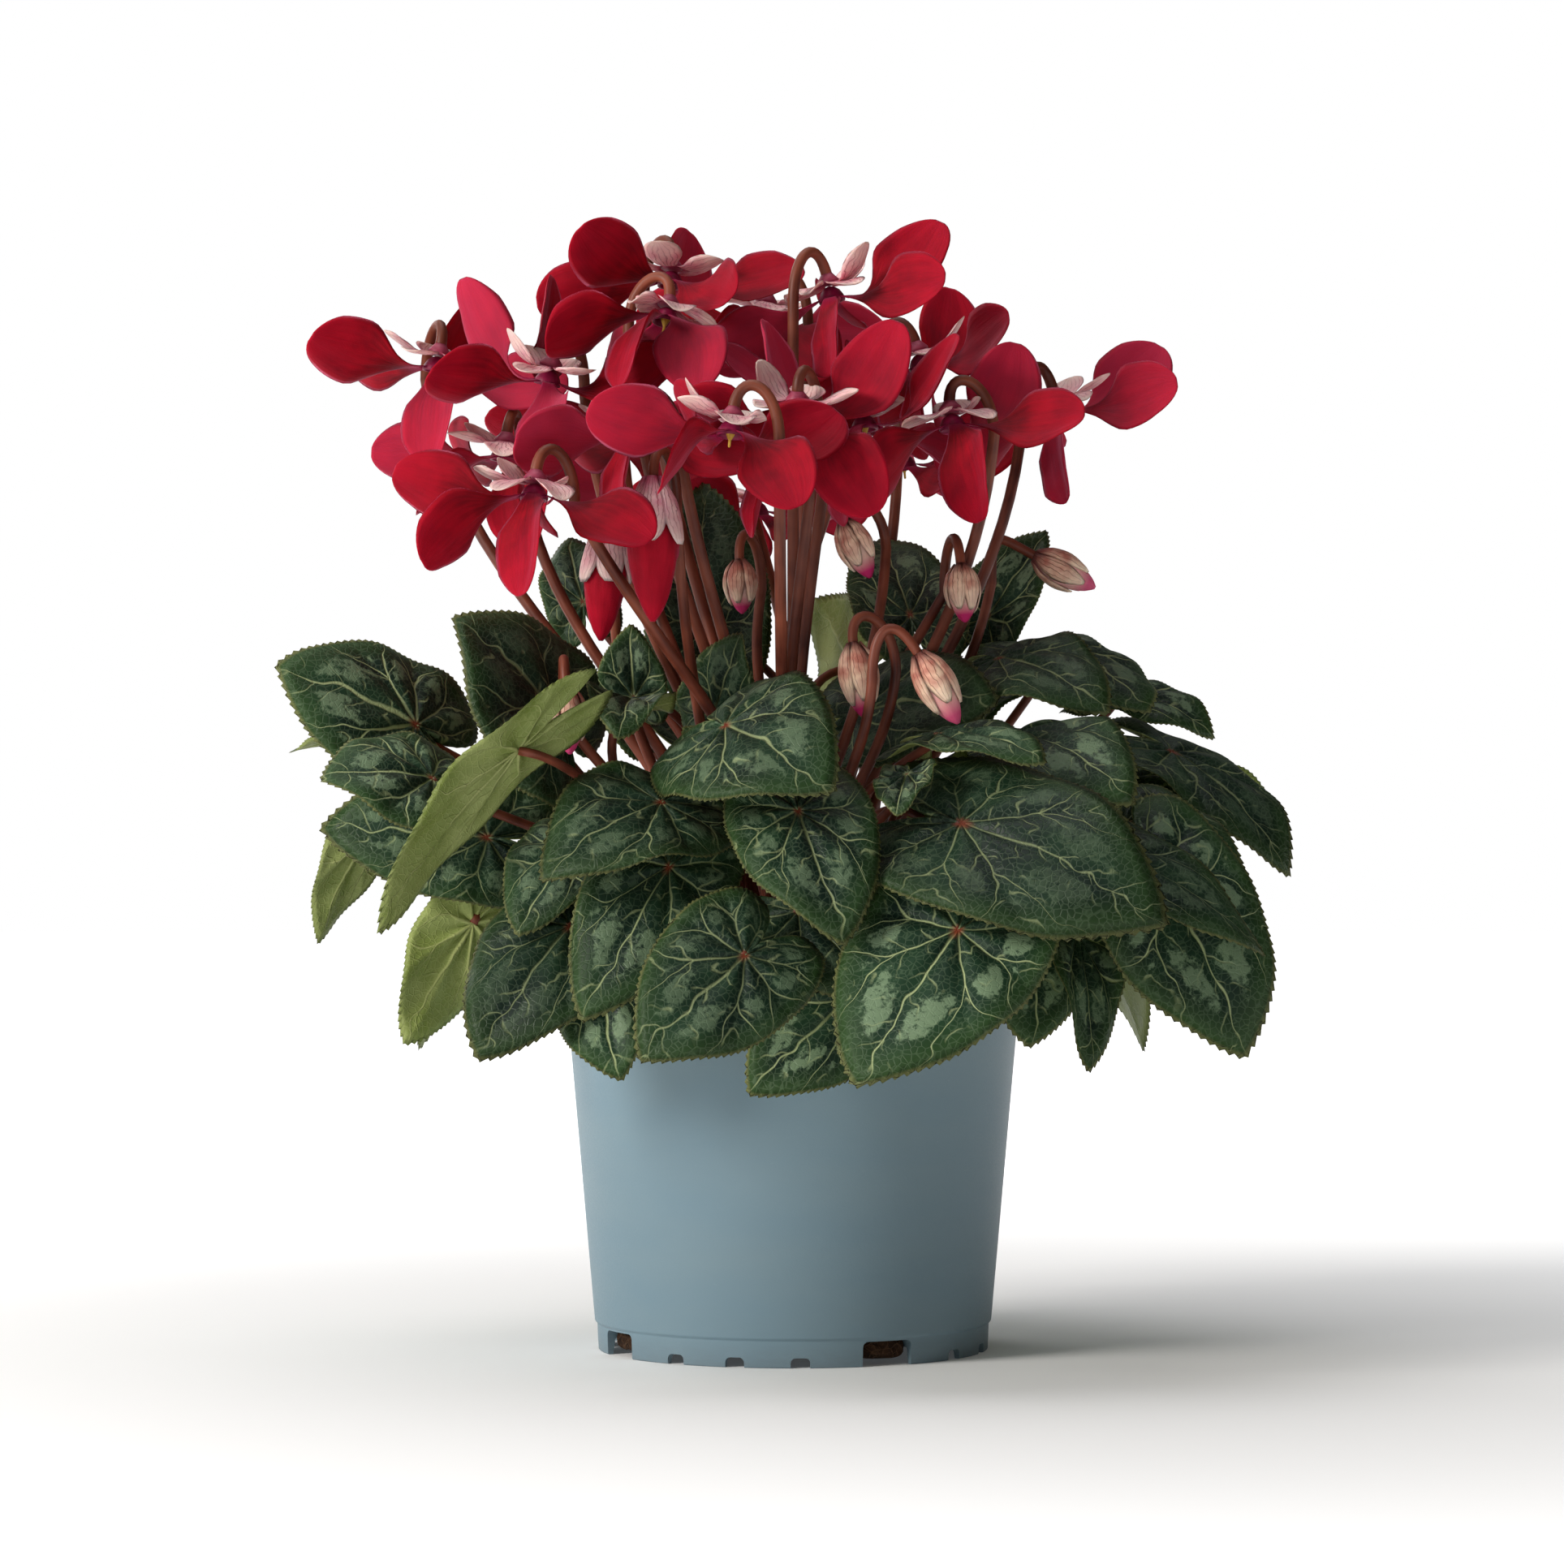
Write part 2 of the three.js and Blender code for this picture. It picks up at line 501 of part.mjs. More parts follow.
const viewer = heading(-90);
const leaves = frontLeaves.map((leaf) => ({ ...leaf, push: viewer }));
for (const ring of backRings) {
  for (let i = 0; i < ring.count; i++) {
    const azimuth = ring.from + ((ring.to - ring.from) * i) / (ring.count - 1);
    const place = ([radius, height]) => heading(azimuth).multiplyScalar(radius).setZ(height).toArray();
    const [base, tip] = [place(ring.base), place(ring.tip)];
    leaves.push({ ...backShape, base, tip, face: [azimuth, ring.face], push: heading(azimuth) });
  }
}
leaves.forEach((leaf, i) => {
  leaf.phase = (i * 2.4) % (2 * Math.PI);
  const samples = (shift) => sheetSamples(leafSheet({ ...leaf, ...shift }));
  leaf.blade = {};
  Object.assign(leaf, settle(shifts, samples, clear.sheet, leaf.blade).choice);
  leaf.end = leafFrame(leaf).base;
});

// Blooms.

// A bloom's frame: axis is the way its mouth looks, hub the end of its stem.
function bloomFrame(bloom) {
  const [tilt, azimuth] = bloom.nod;
  return { axis: heading(azimuth, tilt - 90), hub: along(vector(bloom.hub), viewer, bloom.slide ?? 0) };
}

// A point of a petal or sepal: its middle line leaves the tube downwards, then lifts, and its width turns
// about that line by the twist.
function bladePoint(frame, shape, { turn, lift, twist, reach }, u, v, halfWidth) {
  const flat = heading(turn);
  const radial = along(flat, frame.axis, -flat.dot(frame.axis)).normalize();
  const start = along(frame.hub, frame.axis, shape.depth, radial, shape.radius);
  const knee = along(start, along(radial, frame.axis, shape.fall).normalize(), 0.36 * reach);
  const [out, rise] = [Math.cos(radians(lift)), Math.sin(radians(lift))];
  const arrive = along(new THREE.Vector3(), radial, out, frame.axis, -rise);
  const curve = new THREE.QuadraticBezierCurve3(start, knee, along(start, arrive, reach - shape.radius));
  const tangent = curve.getTangent(u);
  const across = new THREE.Vector3().crossVectors(frame.axis, radial);
  const share = THREE.MathUtils.smoothstep(u, 0, 0.65);
  const width = along(across, tangent, -across.dot(tangent)).normalize();
  width.applyAxisAngle(tangent, radians(twist) * share);
  const normal = new THREE.Vector3().crossVectors(tangent, width);
  return along(curve.getPoint(u), width, v * halfWidth, normal, -shape.cup * v * v * share);
}

// Five blades round a small disc or cone, as one sheet whose faces look along the axis.
function starSheet(frame, shape, blades, widths) {
  const points = [along(frame.hub, frame.axis, shape.apex)];
  const faces = [];
  const roots = blades.map((leaflet) => {
    const add = (u, v, w) => points.push(bladePoint(frame, shape, leaflet, u, v, w)) - 1;
    const root = [add(0, -1, shape.root), add(0, 1, shape.root)];
    let row = root;
    for (const [u, w] of widths) {
      const next = [-1, 0, 1].map((v) => add(u, v, w));
      faces.push([row[0], next[0], next[1]], [row[0], next[1], row[1]]);
      faces.push([row[1], next[1], row[2] ?? next[2]]);
      if (row.length === 3) faces.push([row[2], next[1], next[2]]);
      row = next;
    }
    const tip = add(1, 0, 0);
    faces.push([row[0], tip, row[1]], [row[1], tip, row[2]]);
    return root;
  });
  roots.forEach(([left, right], i) => {
    faces.push([0, left, right], [0, right, roots[(i + 1) % roots.length][0]]);
  });
  return { points, faces };
}

// Petals in order round the axis, clockwise seen from above.
function petalsOf(bloom) {
  const order = [...bloom.petals].sort((a, b) => b[0] - a[0]);
  return order.map(([turn, lift]) => ({ turn, lift, twist: bloom.twist, reach: petal.reach }));
}

// A sepal over each gap between two petals, a short one where the stem passes.
function sepalsOf(bloom) {
  return bloom.corolla.map((here, i) => {
    const next = bloom.corolla[(i + 1) % bloom.corolla.length];
    const turn = here.turn - wrapped(here.turn - next.turn) / 2;
    const lift = Math.min(sepal.steepest, (here.lift + next.lift) / 2 + sepal.above);
    return { turn, lift, twist: 0, reach: bloom.side === turn ? sepal.shortReach : sepal.reach };
  });
}

// Turns, lifts and shortens each blade as little as clears it, and keeps it. Its root, near the hub, isn't
// tested.
function settleBlades(frame, shape, blades, widths) {
  return blades.map((leaflet) => {
    const choices = clear.shares.flatMap((share) => {
      const reach = leaflet.reach * share;
      return changes.map((by) => {
        return { ...leaflet, reach, turn: leaflet.turn + by.turn, lift: leaflet.lift + by.lift };
      });
    });
    const samplesOf = (choice) => {
      const samples = sheetSamples(starSheet(frame, shape, [choice], widths));
      return samples.filter((p) => p.distanceTo(frame.hub) > shape.free);
    };
    return settle(choices, samplesOf, clear.sheet, leaflet);
  });
}
const corollaSheet = (bloom) => starSheet(bloomFrame(bloom), petal, bloom.corolla, petalWidths);
const calyxSheet = (bloom) => starSheet(bloomFrame(bloom), sepal, bloom.calyx, sepalWidths);

// The stem's middle line: a long shaft from the crown, then the hook that bends over to the hub.
function stemLine(root, frame, side, bow) {
  const beside = along(frame.hub, heading(side), hook.reach, up, -hook.drop);
  const lean = new THREE.Vector3(beside.x - root.x, beside.y - root.y, 0);
  const height = beside.z - root.z;
  const low = along(root, up, height * 0.45, lean, 0.19, bow, 1);
  const high = along(beside, up, -height * 0.38, lean, -0.09, bow, 1);
  const shaft = new THREE.CubicBezierCurve3(root, low, high, beside).getPoints(stem.shaftSteps);
  const arch = new THREE.CubicBezierCurve3(
    beside, along(beside, up, hook.rise), along(frame.hub, frame.axis, -hook.entry), frame.hub,
  );
  return [...shaft, ...arch.getPoints(stem.hookSteps).slice(1)];
}

// A bloom moves towards the viewer or away from them where its petals have no room.
for (const bloom of blooms) {
  let best = null;
  for (const slide of bothWays) {
    const fits = settleBlades(bloomFrame({ ...bloom, slide }), petal, petalsOf(bloom), petalWidths);
    const room = Math.min(...fits.map((fit) => fit.room));
    if (!best || room > best.room) best = { slide, fits, room };
    if (room >= clear.sheet) break;
    fits.forEach((fit) => release(fit.samples));
  }
  if (best.room < clear.sheet) best.fits.forEach((fit) => keep(fit.samples, fit.choice));
  bloom.slide = best.slide;
  bloom.corolla = best.fits.map((fit) => fit.choice);
}

// Free places in the middle of the crown, on a triangular grid, the nearest to the bloom's side taken first.
const places = [];
for (let row = -4; row <= 4; row++) {
  for (let column = -6; column <= 6; column++) {
    const place = new THREE.Vector3(column + row / 2, row * Math.sqrt(0.75), 0).multiplyScalar(stem.pitch);
    if (place.length() < stem.disc) places.push(place);
  }
}
for (const bloom of blooms) {
  const { x, y } = bloomFrame(bloom).hub;
  const wanted = new THREE.Vector3(x, y, 0).multiplyScalar(0.13);
  places.sort((a, b) => a.distanceTo(wanted) - b.distanceTo(wanted));
  bloom.root = along(places.shift(), up, tuber.crown + seat);
}

// Sprays: leaves or buds whose stalks leave one small knob on the crown.

const azimuthOf = ([x, y]) => THREE.MathUtils.radToDeg(Math.atan2(y, x));
const endOf = (member) => member.base ?? member.hub;
const chunks = (list, size) => {
  const starts = Array.from({ length: Math.ceil(list.length / size) }, (_, i) => i * size);
  return starts.map((start) => list.slice(start, start + size));
};
const byAzimuth = [...leaves].sort((a, b) => azimuthOf(a.base) - azimuthOf(b.base));
const sprays = [...chunks(byAzimuth, leavesPerSpray), ...chunks(buds, budsPerSpray)].map((members) => {
  return { members, kind: members[0].base ? "leaf" : "bud", azimuth: azimuthOf(endOf(members[1])) };
}).sort((a, b) => a.azimuth - b.azimuth);

sprays.forEach((spray, i) => {
  const turn = cluster.firstTurn + (360 * i) / sprays.length;
  const outward = heading(turn);
  const onward = heading(turn + 90);
  spray.root = along(new THREE.Vector3(), outward, cluster.ring, up, tuber.crown + seat);
  chunks(spray.members, 2).forEach((pair, late) => {
    [...pair].sort((a, b) => endOf(b)[2] - endOf(a)[2]).forEach((member, low) => {
      const across = late ? cluster.apart : -cluster.apart;
      const out = low ? cluster.apart : -cluster.apart;
      member.root = along(spray.root, onward, across, outward, out, up, cluster.height / 2);
      member.spray = spray;
    });
  });
});

// Buds: the stem runs on into the closed flower, which swells and closes to a point.
function budLine(bud, bow) {
  const frame = bloomFrame(bud);
  const rest = budProfile.map(([share]) => along(frame.hub, frame.axis, share * bud.length));
  return [...stemLine(bud.root, frame, bud.shaft, bow), ...rest];
}

// Samples round the closed flower.
function budSamples(bud) {
  const { hub, axis } = bloomFrame(bud);
  const outward = [0, 60, 120, 180, 240, 300].map((azimuth) => heading(azimuth));
  const between = budProfile.slice(1).map(([share, width], i) => {
    return [(share + budProfile[i][0]) / 2, (width + budProfile[i][1]) / 2];
  });
  return [...budProfile, ...between].flatMap(([share, width]) => {
    return outward.map((way) => along(hub, axis, share * bud.length, way, width * bud.girth));
  });
}

for (const bud of buds) {
  bud.slide = settle(bothWays, (slide) => budSamples({ ...bud, slide }), clear.sheet, bud).choice;
}

// Every stalk's choices of a bow and, for a bloom's stem, of the gap between two petals that it rises in.
const plainBows = bows.map((bow) => ({ bow }));
const stalks = [
  ...blooms.map((bloom) => {
    const awayFrom = (side) => Math.min(wrapped(side - bloom.shaft), wrapped(bloom.shaft - side));
    const sides = sepalsOf(bloom).map(({ turn }) => turn).sort((a, b) => awayFrom(a) - awayFrom(b));
    const choices = sides.flatMap((side) => bows.map((bow) => ({ side, bow })));
    const lineOf = ({ side, bow }) => stemLine(bloom.root, bloomFrame(bloom), side, bow);
    return { owner: bloom, choices, lineOf, hidden: 2 };
  }),
  ...buds.map((bud) => {
    return { owner: bud, choices: plainBows, lineOf: ({ bow }) => budLine(bud, bow), hidden: 0 };
  }),
  ...leaves.map((leaf) => {
    return { owner: leaf, choices: plainBows, lineOf: ({ bow }) => petioleLine(leaf, bow), hidden: 0 };
  }),
];
for (let pass = 0; pass < clear.passes; pass++) {
  for (const stalk of stalks) {
    const { owner, choices, lineOf, hidden } = stalk;
    if (stalk.samples) release(stalk.samples);
    const samplesOf = (choice) => {
      const line = lineOf(choice);
      return lineSamples(line.slice(0, line.length - hidden));
    };
    const { choice, samples } = settle(choices, samplesOf, clear.tube, owner);
    stalk.samples = samples;
    Object.assign(owner, { side: choice.side, line: lineOf(choice) });
  }
}
for (const bloom of blooms) {
  const fits = settleBlades(bloomFrame(bloom), sepal, sepalsOf(bloom), sepalWidths);
  bloom.calyx = fits.map((fit) => fit.choice);
}

function leafSolid(leaf) {
  const rings = tubeRings(leaf.line, leaf.line.map(() => petiole.radius), petiole.sides);
  return bladeSolid(leafSheet(leaf), blade.thickness, rings);
}

function budSolid(bud) {
  const swelling = budProfile.map(([, share]) => share * bud.girth);
  const plain = bud.line.slice(swelling.length).map(() => petiole.radius);
  return tube(bud.line, [...plain, ...swelling], stem.sides);
}

function spraySolid(spray) {
  const { radius, height, sides } = cluster;
  const knob = tube([spray.root, along(spray.root, up, height)], [radius, radius * 0.9], sides);
  return joined([knob, ...spray.members.map(spray.kind === "leaf" ? leafSolid : budSolid)]);
}

// Pot, soil and tuber, turned about the Z axis.

function turned(profile, segments) {
  const outline = profile.map(([r, z]) => new THREE.Vector2(r, z));
  return new THREE.LatheGeometry(outline, segments).rotateX(Math.PI / 2);
}

// The pot's inner wall: radius and height, from the floor to the rim.
const shellLow = pot.footRadius + pot.footStep;
const shellTop = pot.rimRadius - pot.bandStep;
const bandLow = pot.height - pot.bandHeight;
const innerWall = [
  [shellLow - pot.wall - pot.floorCorner, pot.floorHigh],
  [shellLow - pot.wall, pot.floorHigh + pot.floorCorner],
  [shellTop - pot.wall, bandLow - 2], [pot.rimRadius - pot.wall, pot.height],
];

function potGeometry() {
  const { rimRadius, height, wall, footRadius, footHeight, floorLow, floorHigh } = pot;
  const outside = [
    [0, floorLow], [footRadius - wall - 0.5, floorLow], [footRadius - wall, 0], [footRadius, 0],
    [footRadius + 0.3, footHeight], [shellLow, footHeight + 0.6], [shellTop, bandLow],
    [rimRadius - 0.2, bandLow + 0.8], [rimRadius, height - 0.8], [rimRadius - 0.6, height],
  ];
  let solid = solidOf(turned([...outside, ...[...innerWall].reverse(), [0, floorHigh]], pot.segments));
  const cut = (azimuth, { width, height: tall, inner }) => {
    const deep = footRadius + 4 - inner;
    const box = new THREE.BoxGeometry(deep, width, 2 * tall).translate(inner + deep / 2, 0, 0);
    solid = solid.subtract(solidOf(box.rotateZ(radians(azimuth))));
  };
  for (let quarter = 0; quarter < 4; quarter++) {
    cut(notch.first + 90 * quarter, notch);
    for (const place of [-1, 0, 1]) cut(slit.first + 90 * quarter + place * slit.apart, slit);
  }
  return geometryOf(solid);
}

function soilGeometry() {
  const { gap, top } = soil;
  const low = pot.floorHigh + gap;
  const [corner, foot, shoulder, rim] = innerWall;
  const edge = shoulder[0] + ((rim[0] - shoulder[0]) * (top - shoulder[1])) / (rim[1] - shoulder[1]) - gap;
  return turned([
    [0, low], [corner[0] - gap, low], [foot[0] - gap, foot[1] + gap], [shoulder[0] - gap, shoulder[1]],
    [edge, top - 1.5], [edge - 4, top], [tuber.radius + 4, top + soil.mound], [tuber.radius + gap, top - 1],
    [tuber.radius - 4 + gap, tuber.low + 4], [tuber.radius - 12, tuber.low - gap], [0, tuber.low - gap],
  ], pot.segments);
}

function tuberGeometry() {
  const { radius, low, crown, crownRadius, segments } = tuber;
  return turned([
    [0, low], [radius - 12, low], [radius - 4, low + 4], [radius, soil.top - 1], [radius - 0.8, crown - 2.2],
    [crownRadius, crown], [0, crown],
  ], segments);
}

const plant = new THREE.Group();
function addNode(name, geometry, tint, roughness = 0.6) {
  const material = new THREE.MeshStandardMaterial({ color: tint, roughness, metalness: 0 });
  const mesh = new THREE.Mesh(geometry, material);
  mesh.name = name;
  plant.add(mesh);
}
const numbered = (i) => String(i + 1).padStart(2, "0");

addNode("pot", potGeometry(), colour.pot, 0.5);
addNode("soil", soilGeometry(), colour.soil, 0.95);
addNode("tuber", tuberGeometry(), colour.tuber, 0.9);
for (const kind of ["leaf", "bud"]) {
  sprays.filter((spray) => spray.kind === kind).forEach((spray, i) => {
    const tint = kind === "leaf" ? colour.leaf : colour.stem;
    addNode(`${kind}_spray_${numbered(i)}`, spraySolid(spray), tint);
  });
}
blooms.forEach((bloom, i) => {
  const stalk = tubeRings(bloom.line, bloom.line.map(() => stem.radius), stem.sides);
  const name = `bloom_${numbered(i)}`;
  addNode(`${name}_petals`, bladeSolid(corollaSheet(bloom), petal.thickness), colour.petal, 0.45);
  addNode(`${name}_stem`, bladeSolid(calyxSheet(bloom), sepal.thickness, stalk), colour.stem);
});

// The origin is the middle of the whole plant's outline, at the pot's foot.
const bounds = new THREE.Box3().setFromObject(plant);
const middle = bounds.getCenter(new THREE.Vector3());
plant.position.set(-middle.x, -middle.y, 0);

export default plant;
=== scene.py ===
import functools
import math
import random

import bpy
import bmesh
import numpy as np
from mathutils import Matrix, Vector, noise
from mathutils.kdtree import KDTree


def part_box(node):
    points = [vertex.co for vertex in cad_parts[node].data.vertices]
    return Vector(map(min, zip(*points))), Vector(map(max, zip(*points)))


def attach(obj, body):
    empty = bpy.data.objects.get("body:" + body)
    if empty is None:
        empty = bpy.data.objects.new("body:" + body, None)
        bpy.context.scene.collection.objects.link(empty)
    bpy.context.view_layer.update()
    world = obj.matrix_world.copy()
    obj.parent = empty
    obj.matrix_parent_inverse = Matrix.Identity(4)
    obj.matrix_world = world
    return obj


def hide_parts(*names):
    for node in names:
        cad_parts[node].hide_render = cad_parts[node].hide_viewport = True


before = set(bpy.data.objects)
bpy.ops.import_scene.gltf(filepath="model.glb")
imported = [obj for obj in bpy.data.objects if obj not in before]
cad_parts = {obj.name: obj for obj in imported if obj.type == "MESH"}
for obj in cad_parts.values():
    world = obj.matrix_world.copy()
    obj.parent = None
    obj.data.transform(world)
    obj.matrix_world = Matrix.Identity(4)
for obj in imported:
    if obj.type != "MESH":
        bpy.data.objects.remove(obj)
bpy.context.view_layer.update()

# A potted cyclamen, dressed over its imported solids. Lengths are in millimetres until a mesh is made.
# The leaves, blooms and buds follow the same places and the same rules of shape as the solids. The solids
# moved some of them a little to make room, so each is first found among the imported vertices.

frontLeaves = [  # base, tip, face, broad, arch, cup, wave
    ((-23, 45, 190), (-24, 58, 230), (-90, 8), 0.7, 1, 3, 1),
    ((16, 30, 178), (5, 55, 198), (95, 30), 0.8, 2, 2, 1),
    ((-56, 24, 196), (-60, 36, 214), (-110, 38), 0.8, 2, 2, 1),
    ((31, 12, 192), (24, 45, 214), (-90, 52), 0.65, 2, 7, 1),
    ((52, 28, 192), (68, 34, 216), (-70, 46), 0.6, 2, 8, 1),
    ((87, 25, 172), (112, 17, 161), (-50, 40), 0.7, 3, -3, 1),
    ((70, 20, 184), (92, -2, 165), (-55, 30), 0.95, 3, -4, 1.5),
    ((53, -6, 180), (80, -30, 167), (-70, 32), 0.8, 4, -4, 1.5),
    ((16, -22, 166), (52, -42, 169), (-98, 40), 0.85, 3, -2, 1.5),
    ((-20, -36, 166), (-13, -46, 186), (-95, 34), 0.8, 1, 1, 1),
    ((-41, -26, 170), (-42, -32, 188), (-100, 34), 0.85, 1, 1, 1),
    ((103, 25, 146), (130, 20, 139), (55, 42), 0.9, 2, 2, 1),
    ((82, -12, 148), (108, -26, 140), (-52, 34), 0.85, 3, -3, 1),
    ((98, 2, 156), (128, -10, 125), (-40, 30), 0.7, 4, -4, 1.5),
    ((84, -30, 138), (114, -36, 124), (-60, 30), 0.85, 3, -3, 1),
    ((62, -48, 112), (59, -62, 82), (-80, 10), 0.8, 2, -2, 1),
    ((92, -38, 124), (112, -44, 80), (-62, 14), 0.8, 4, -3, 1.5),
    ((74, -52, 132), (116, -58, 105), (-80, 52), 0.5, 5, -4, 1),
    ((56, -46, 160), (84, -76, 143), (-75, 28), 0.75, 5, -4, 1.5),
    ((13, -70, 94), (-11, -80, 71), (-95, 6), 0.8, 2, -2, 1),
    ((71, -60, 110), (74, -76, 77), (-58, 12), 0.5, 2, 6, 1.5),
    ((41, -64, 138), (90, -84, 113), (-82, 32), 0.75, 5, -4, 2),
    ((34, -60, 137), (17, -84, 104), (48, -4), 0.45, 3, 7, 1),
    ((1, -72, 116), (22, -90, 94), (-84, 32), 0.8, 3, -3, 1),
    ((40, -76, 112), (15, -94, 74), (-88, 14), 0.85, 3, -2, 2),
    ((-48, -66, 99), (-43, -80, 75), (-104, 2), 0.85, 2, -2, 1),
    ((-56, -50, 132), (-69, -66, 110), (-108, 20), 0.8, 2, -2, 1),
    ((-56, -58, 112), (-78, -72, 79), (-112, 10), 0.8, 3, -2, 1.5),
    ((-16, -52, 149), (-27, -60, 162), (-92, 30), 0.7, 1, 1, 1),
    ((-31, -72, 127), (-52, -88, 89), (-94, 18), 0.65, 3, -2, 1.5),
    ((1, -72, 141), (12, -92, 109), (-88, 28), 0.78, 3, -3, 2),
    ((-33, -70, 143), (-62, -86, 125), (-98, 38), 0.85, 4, -3, 2.5),
    ((-12, -80, 106), (-37, -94, 81), (-92, 14), 0.85, 3, -2, 1.5),
    ((-17, -56, 162), (9, -80, 147), (-92, 28), 1, 4, -3, 1.5),
    ((36, -64, 160), (62, -84, 153), (-92, 68), 0.6, 3, -2, 1),
    ((28, -64, 150), (25, -78, 140), (-112, 34), 0.75, 1, 2, 0.5),
    ((-41, -48, 169), (-44, -70, 160), (-90, 45), 0.8, 3, 4, 1.5),
    ((-60, -40, 165), (-86, -48, 189), (-106, 36), 1.15, 3, -2, 1.5),
    ((-112, 8, 134), (-126, 14, 106), (120, 16), 0.5, 2, 3, 1),
    ((-112, 14, 156), (-134, 22, 157), (170, 58), 0.6, 2, 2, 1),
    ((-98, -14, 163), (-134, -22, 177), (-112, 40), 1, 3, -3, 1.5),
    ((-78, -38, 134), (-120, -42, 137), (-116, 14), 0.72, 3, -2, 1.5),
    ((-80, 34, 122), (-92, 46, 96), (150, 20), 0.9, 2, -1, 1),
    ((-82, -34, 112), (-98, -48, 82), (128, 16), 0.6, 2, 3, 1),
    ((-68, -62, 156), (-102, -78, 112), (150, 6), 0.45, 3, 5, 1),
    ((-91, -34, 149), (-118, -46, 148), (-106, 38), 1.05, 3, -2, 1.5),
]
blooms = [  # hub, nod, twist, petals
    ((-7, 35, 278), (10, 200), 55, ((20, 8), (95, 0), (165, -8), (240, -35), (310, -30))),
    ((33, 22, 264), (15, 0), 60, ((60, 38), (130, 5), (200, -5), (255, -50), (315, 8))),
    ((-32, 12, 285), (12, 250), 55, ((90, 28), (180, -14), (228, 10), (300, -22), (352, 8))),
    ((-93, 6, 262), (12, 190), 60, ((75, 46), (150, 8), (205, 0), (283, -55), (352, 5))),
    ((69, 12, 251), (14, 0), 62, ((22, 20), (105, 5), (185, -8), (258, -48), (330, -2))),
    ((-75, -5, 238), (8, 200), 58, ((25, -5), (120, 12), (184, -4), (232, -34), (295, -50))),
    ((-32, -24, 272), (20, 240), 45, ((20, -20), (110, -10), (205, -32), (250, -58), (300, -52))),
    ((9, -10, 279), (12, 350), 58, ((0, 26), (88, 5), (175, -20), (262, -42), (325, -6))),
    ((18, -20, 245), (10, 300), 55, ((95, 58), (180, -5), (248, -62), (328, 34), (28, -12))),
    ((-62, -30, 256), (14, 150), 60, ((105, 52), (162, 40), (215, -5), (280, -32), (345, 28))),
    ((40, -36, 244), (10, 320), 58, ((41, 44), (108, 5), (212, -34), (278, -60), (338, -6))),
    ((-40, -48, 240), (10, 260), 60, ((60, 14), (132, 20), (198, 4), (264, -52), (335, -14))),
    ((1, -58, 245), (16, 90), 50, ((18, 44), (105, 36), (190, -6), (240, -40), (310, -38))),
    ((-15, -72, 239), (12, 240), 56, ((40, 8), (112, 18), (192, 2), (238, -40), (312, -42))),
    ((-64, -74, 224), (10, 250), 56, ((95, 14), (178, 8), (205, -40), (268, -62), (350, -6))),
    ((-48, 52, 244), (12, 120), 58, ((40, 20), (105, -10), (180, 10), (245, -20), (320, 5))),
    ((30, 64, 240), (12, 60), 58, ((15, 15), (80, -15), (150, 20), (225, -10), (300, 10))),
    ((-10, 82, 228), (14, 90), 56, ((30, 5), (100, -35), (170, 10), (240, 20), (310, 12))),
]
buds = [  # hub, shaft, nod, length, girth
    ((-57, -76, 172), 95, (8, 300), 17, 4.2),
    ((-35, -70, 224), 60, (4, 270), 36, 6.5),
    ((-47, -42, 214), 80, (4, 200), 30, 5.5),
    ((15, -58, 183), 20, (10, 330), 19, 4.4),
    ((31, -72, 180), 180, (30, 0), 20, 4.4),
    ((13, -40, 215), 20, (25, 0), 16, 4),
    ((43, -29, 204), 110, (8, 300), 15, 4),
    ((64, 12, 208), 180, (62, 0), 18, 4.3),
    ((-14, -8, 206), 60, (6, 300), 14, 3.8),
]

potLow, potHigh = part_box("pot")
shift = np.array([(potLow.x + potHigh.x) * 500, (potLow.y + potHigh.y) * 500, 0])
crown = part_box("tuber")[1].z * 1000
seat = 0.3  # every stalk's foot stands this far above the tuber
viewer = np.array([0.0, -1.0, 0.0])
upward = np.array([0.0, 0.0, 1.0])


# small tools

def unit(v):
    v = np.asarray(v, float)
    return v / np.maximum(np.linalg.norm(v, axis=-1, keepdims=True), 1e-9)


def heading(azimuth, elevation=0.0):
    a, e = math.radians(azimuth), math.radians(elevation)
    return np.array([math.cos(e) * math.cos(a), math.cos(e) * math.sin(a), math.sin(e)])


def easeIn(x, low, high):
    t = np.clip((np.asarray(x, float) - low) / (high - low), 0, 1)
    return t * t * (3 - 2 * t)


def smoothLine(table, x):  # through the table's points, with no overshoot
    xs, ys = np.array(table, float).T
    step = np.diff(xs)
    rise = np.diff(ys) / step
    slope = np.concatenate([rise[:1], np.zeros(len(xs) - 2), rise[-1:]])
    for i in range(1, len(xs) - 1):
        if rise[i - 1] * rise[i] > 0:
            slope[i] = 2 * rise[i - 1] * rise[i] / (rise[i - 1] + rise[i])
    x = np.clip(np.asarray(x, float), xs[0], xs[-1])
    i = np.clip(np.searchsorted(xs, x, side="right") - 1, 0, len(step) - 1)
    t = (x - xs[i]) / step[i]
    return (ys[i] * (1 + 2 * t) * (1 - t) ** 2 + step[i] * slope[i] * t * (1 - t) ** 2
            + ys[i + 1] * t * t * (3 - 2 * t) - step[i] * slope[i + 1] * t * t * (1 - t))


def bezier(points, count):
    t = np.linspace(0, 1, count + 1)[:, None]
    a, b, c, d = (np.asarray(p, float) for p in points)
    return a * (1 - t) ** 3 + b * 3 * t * (1 - t) ** 2 + c * 3 * t * t * (1 - t) + d * t ** 3


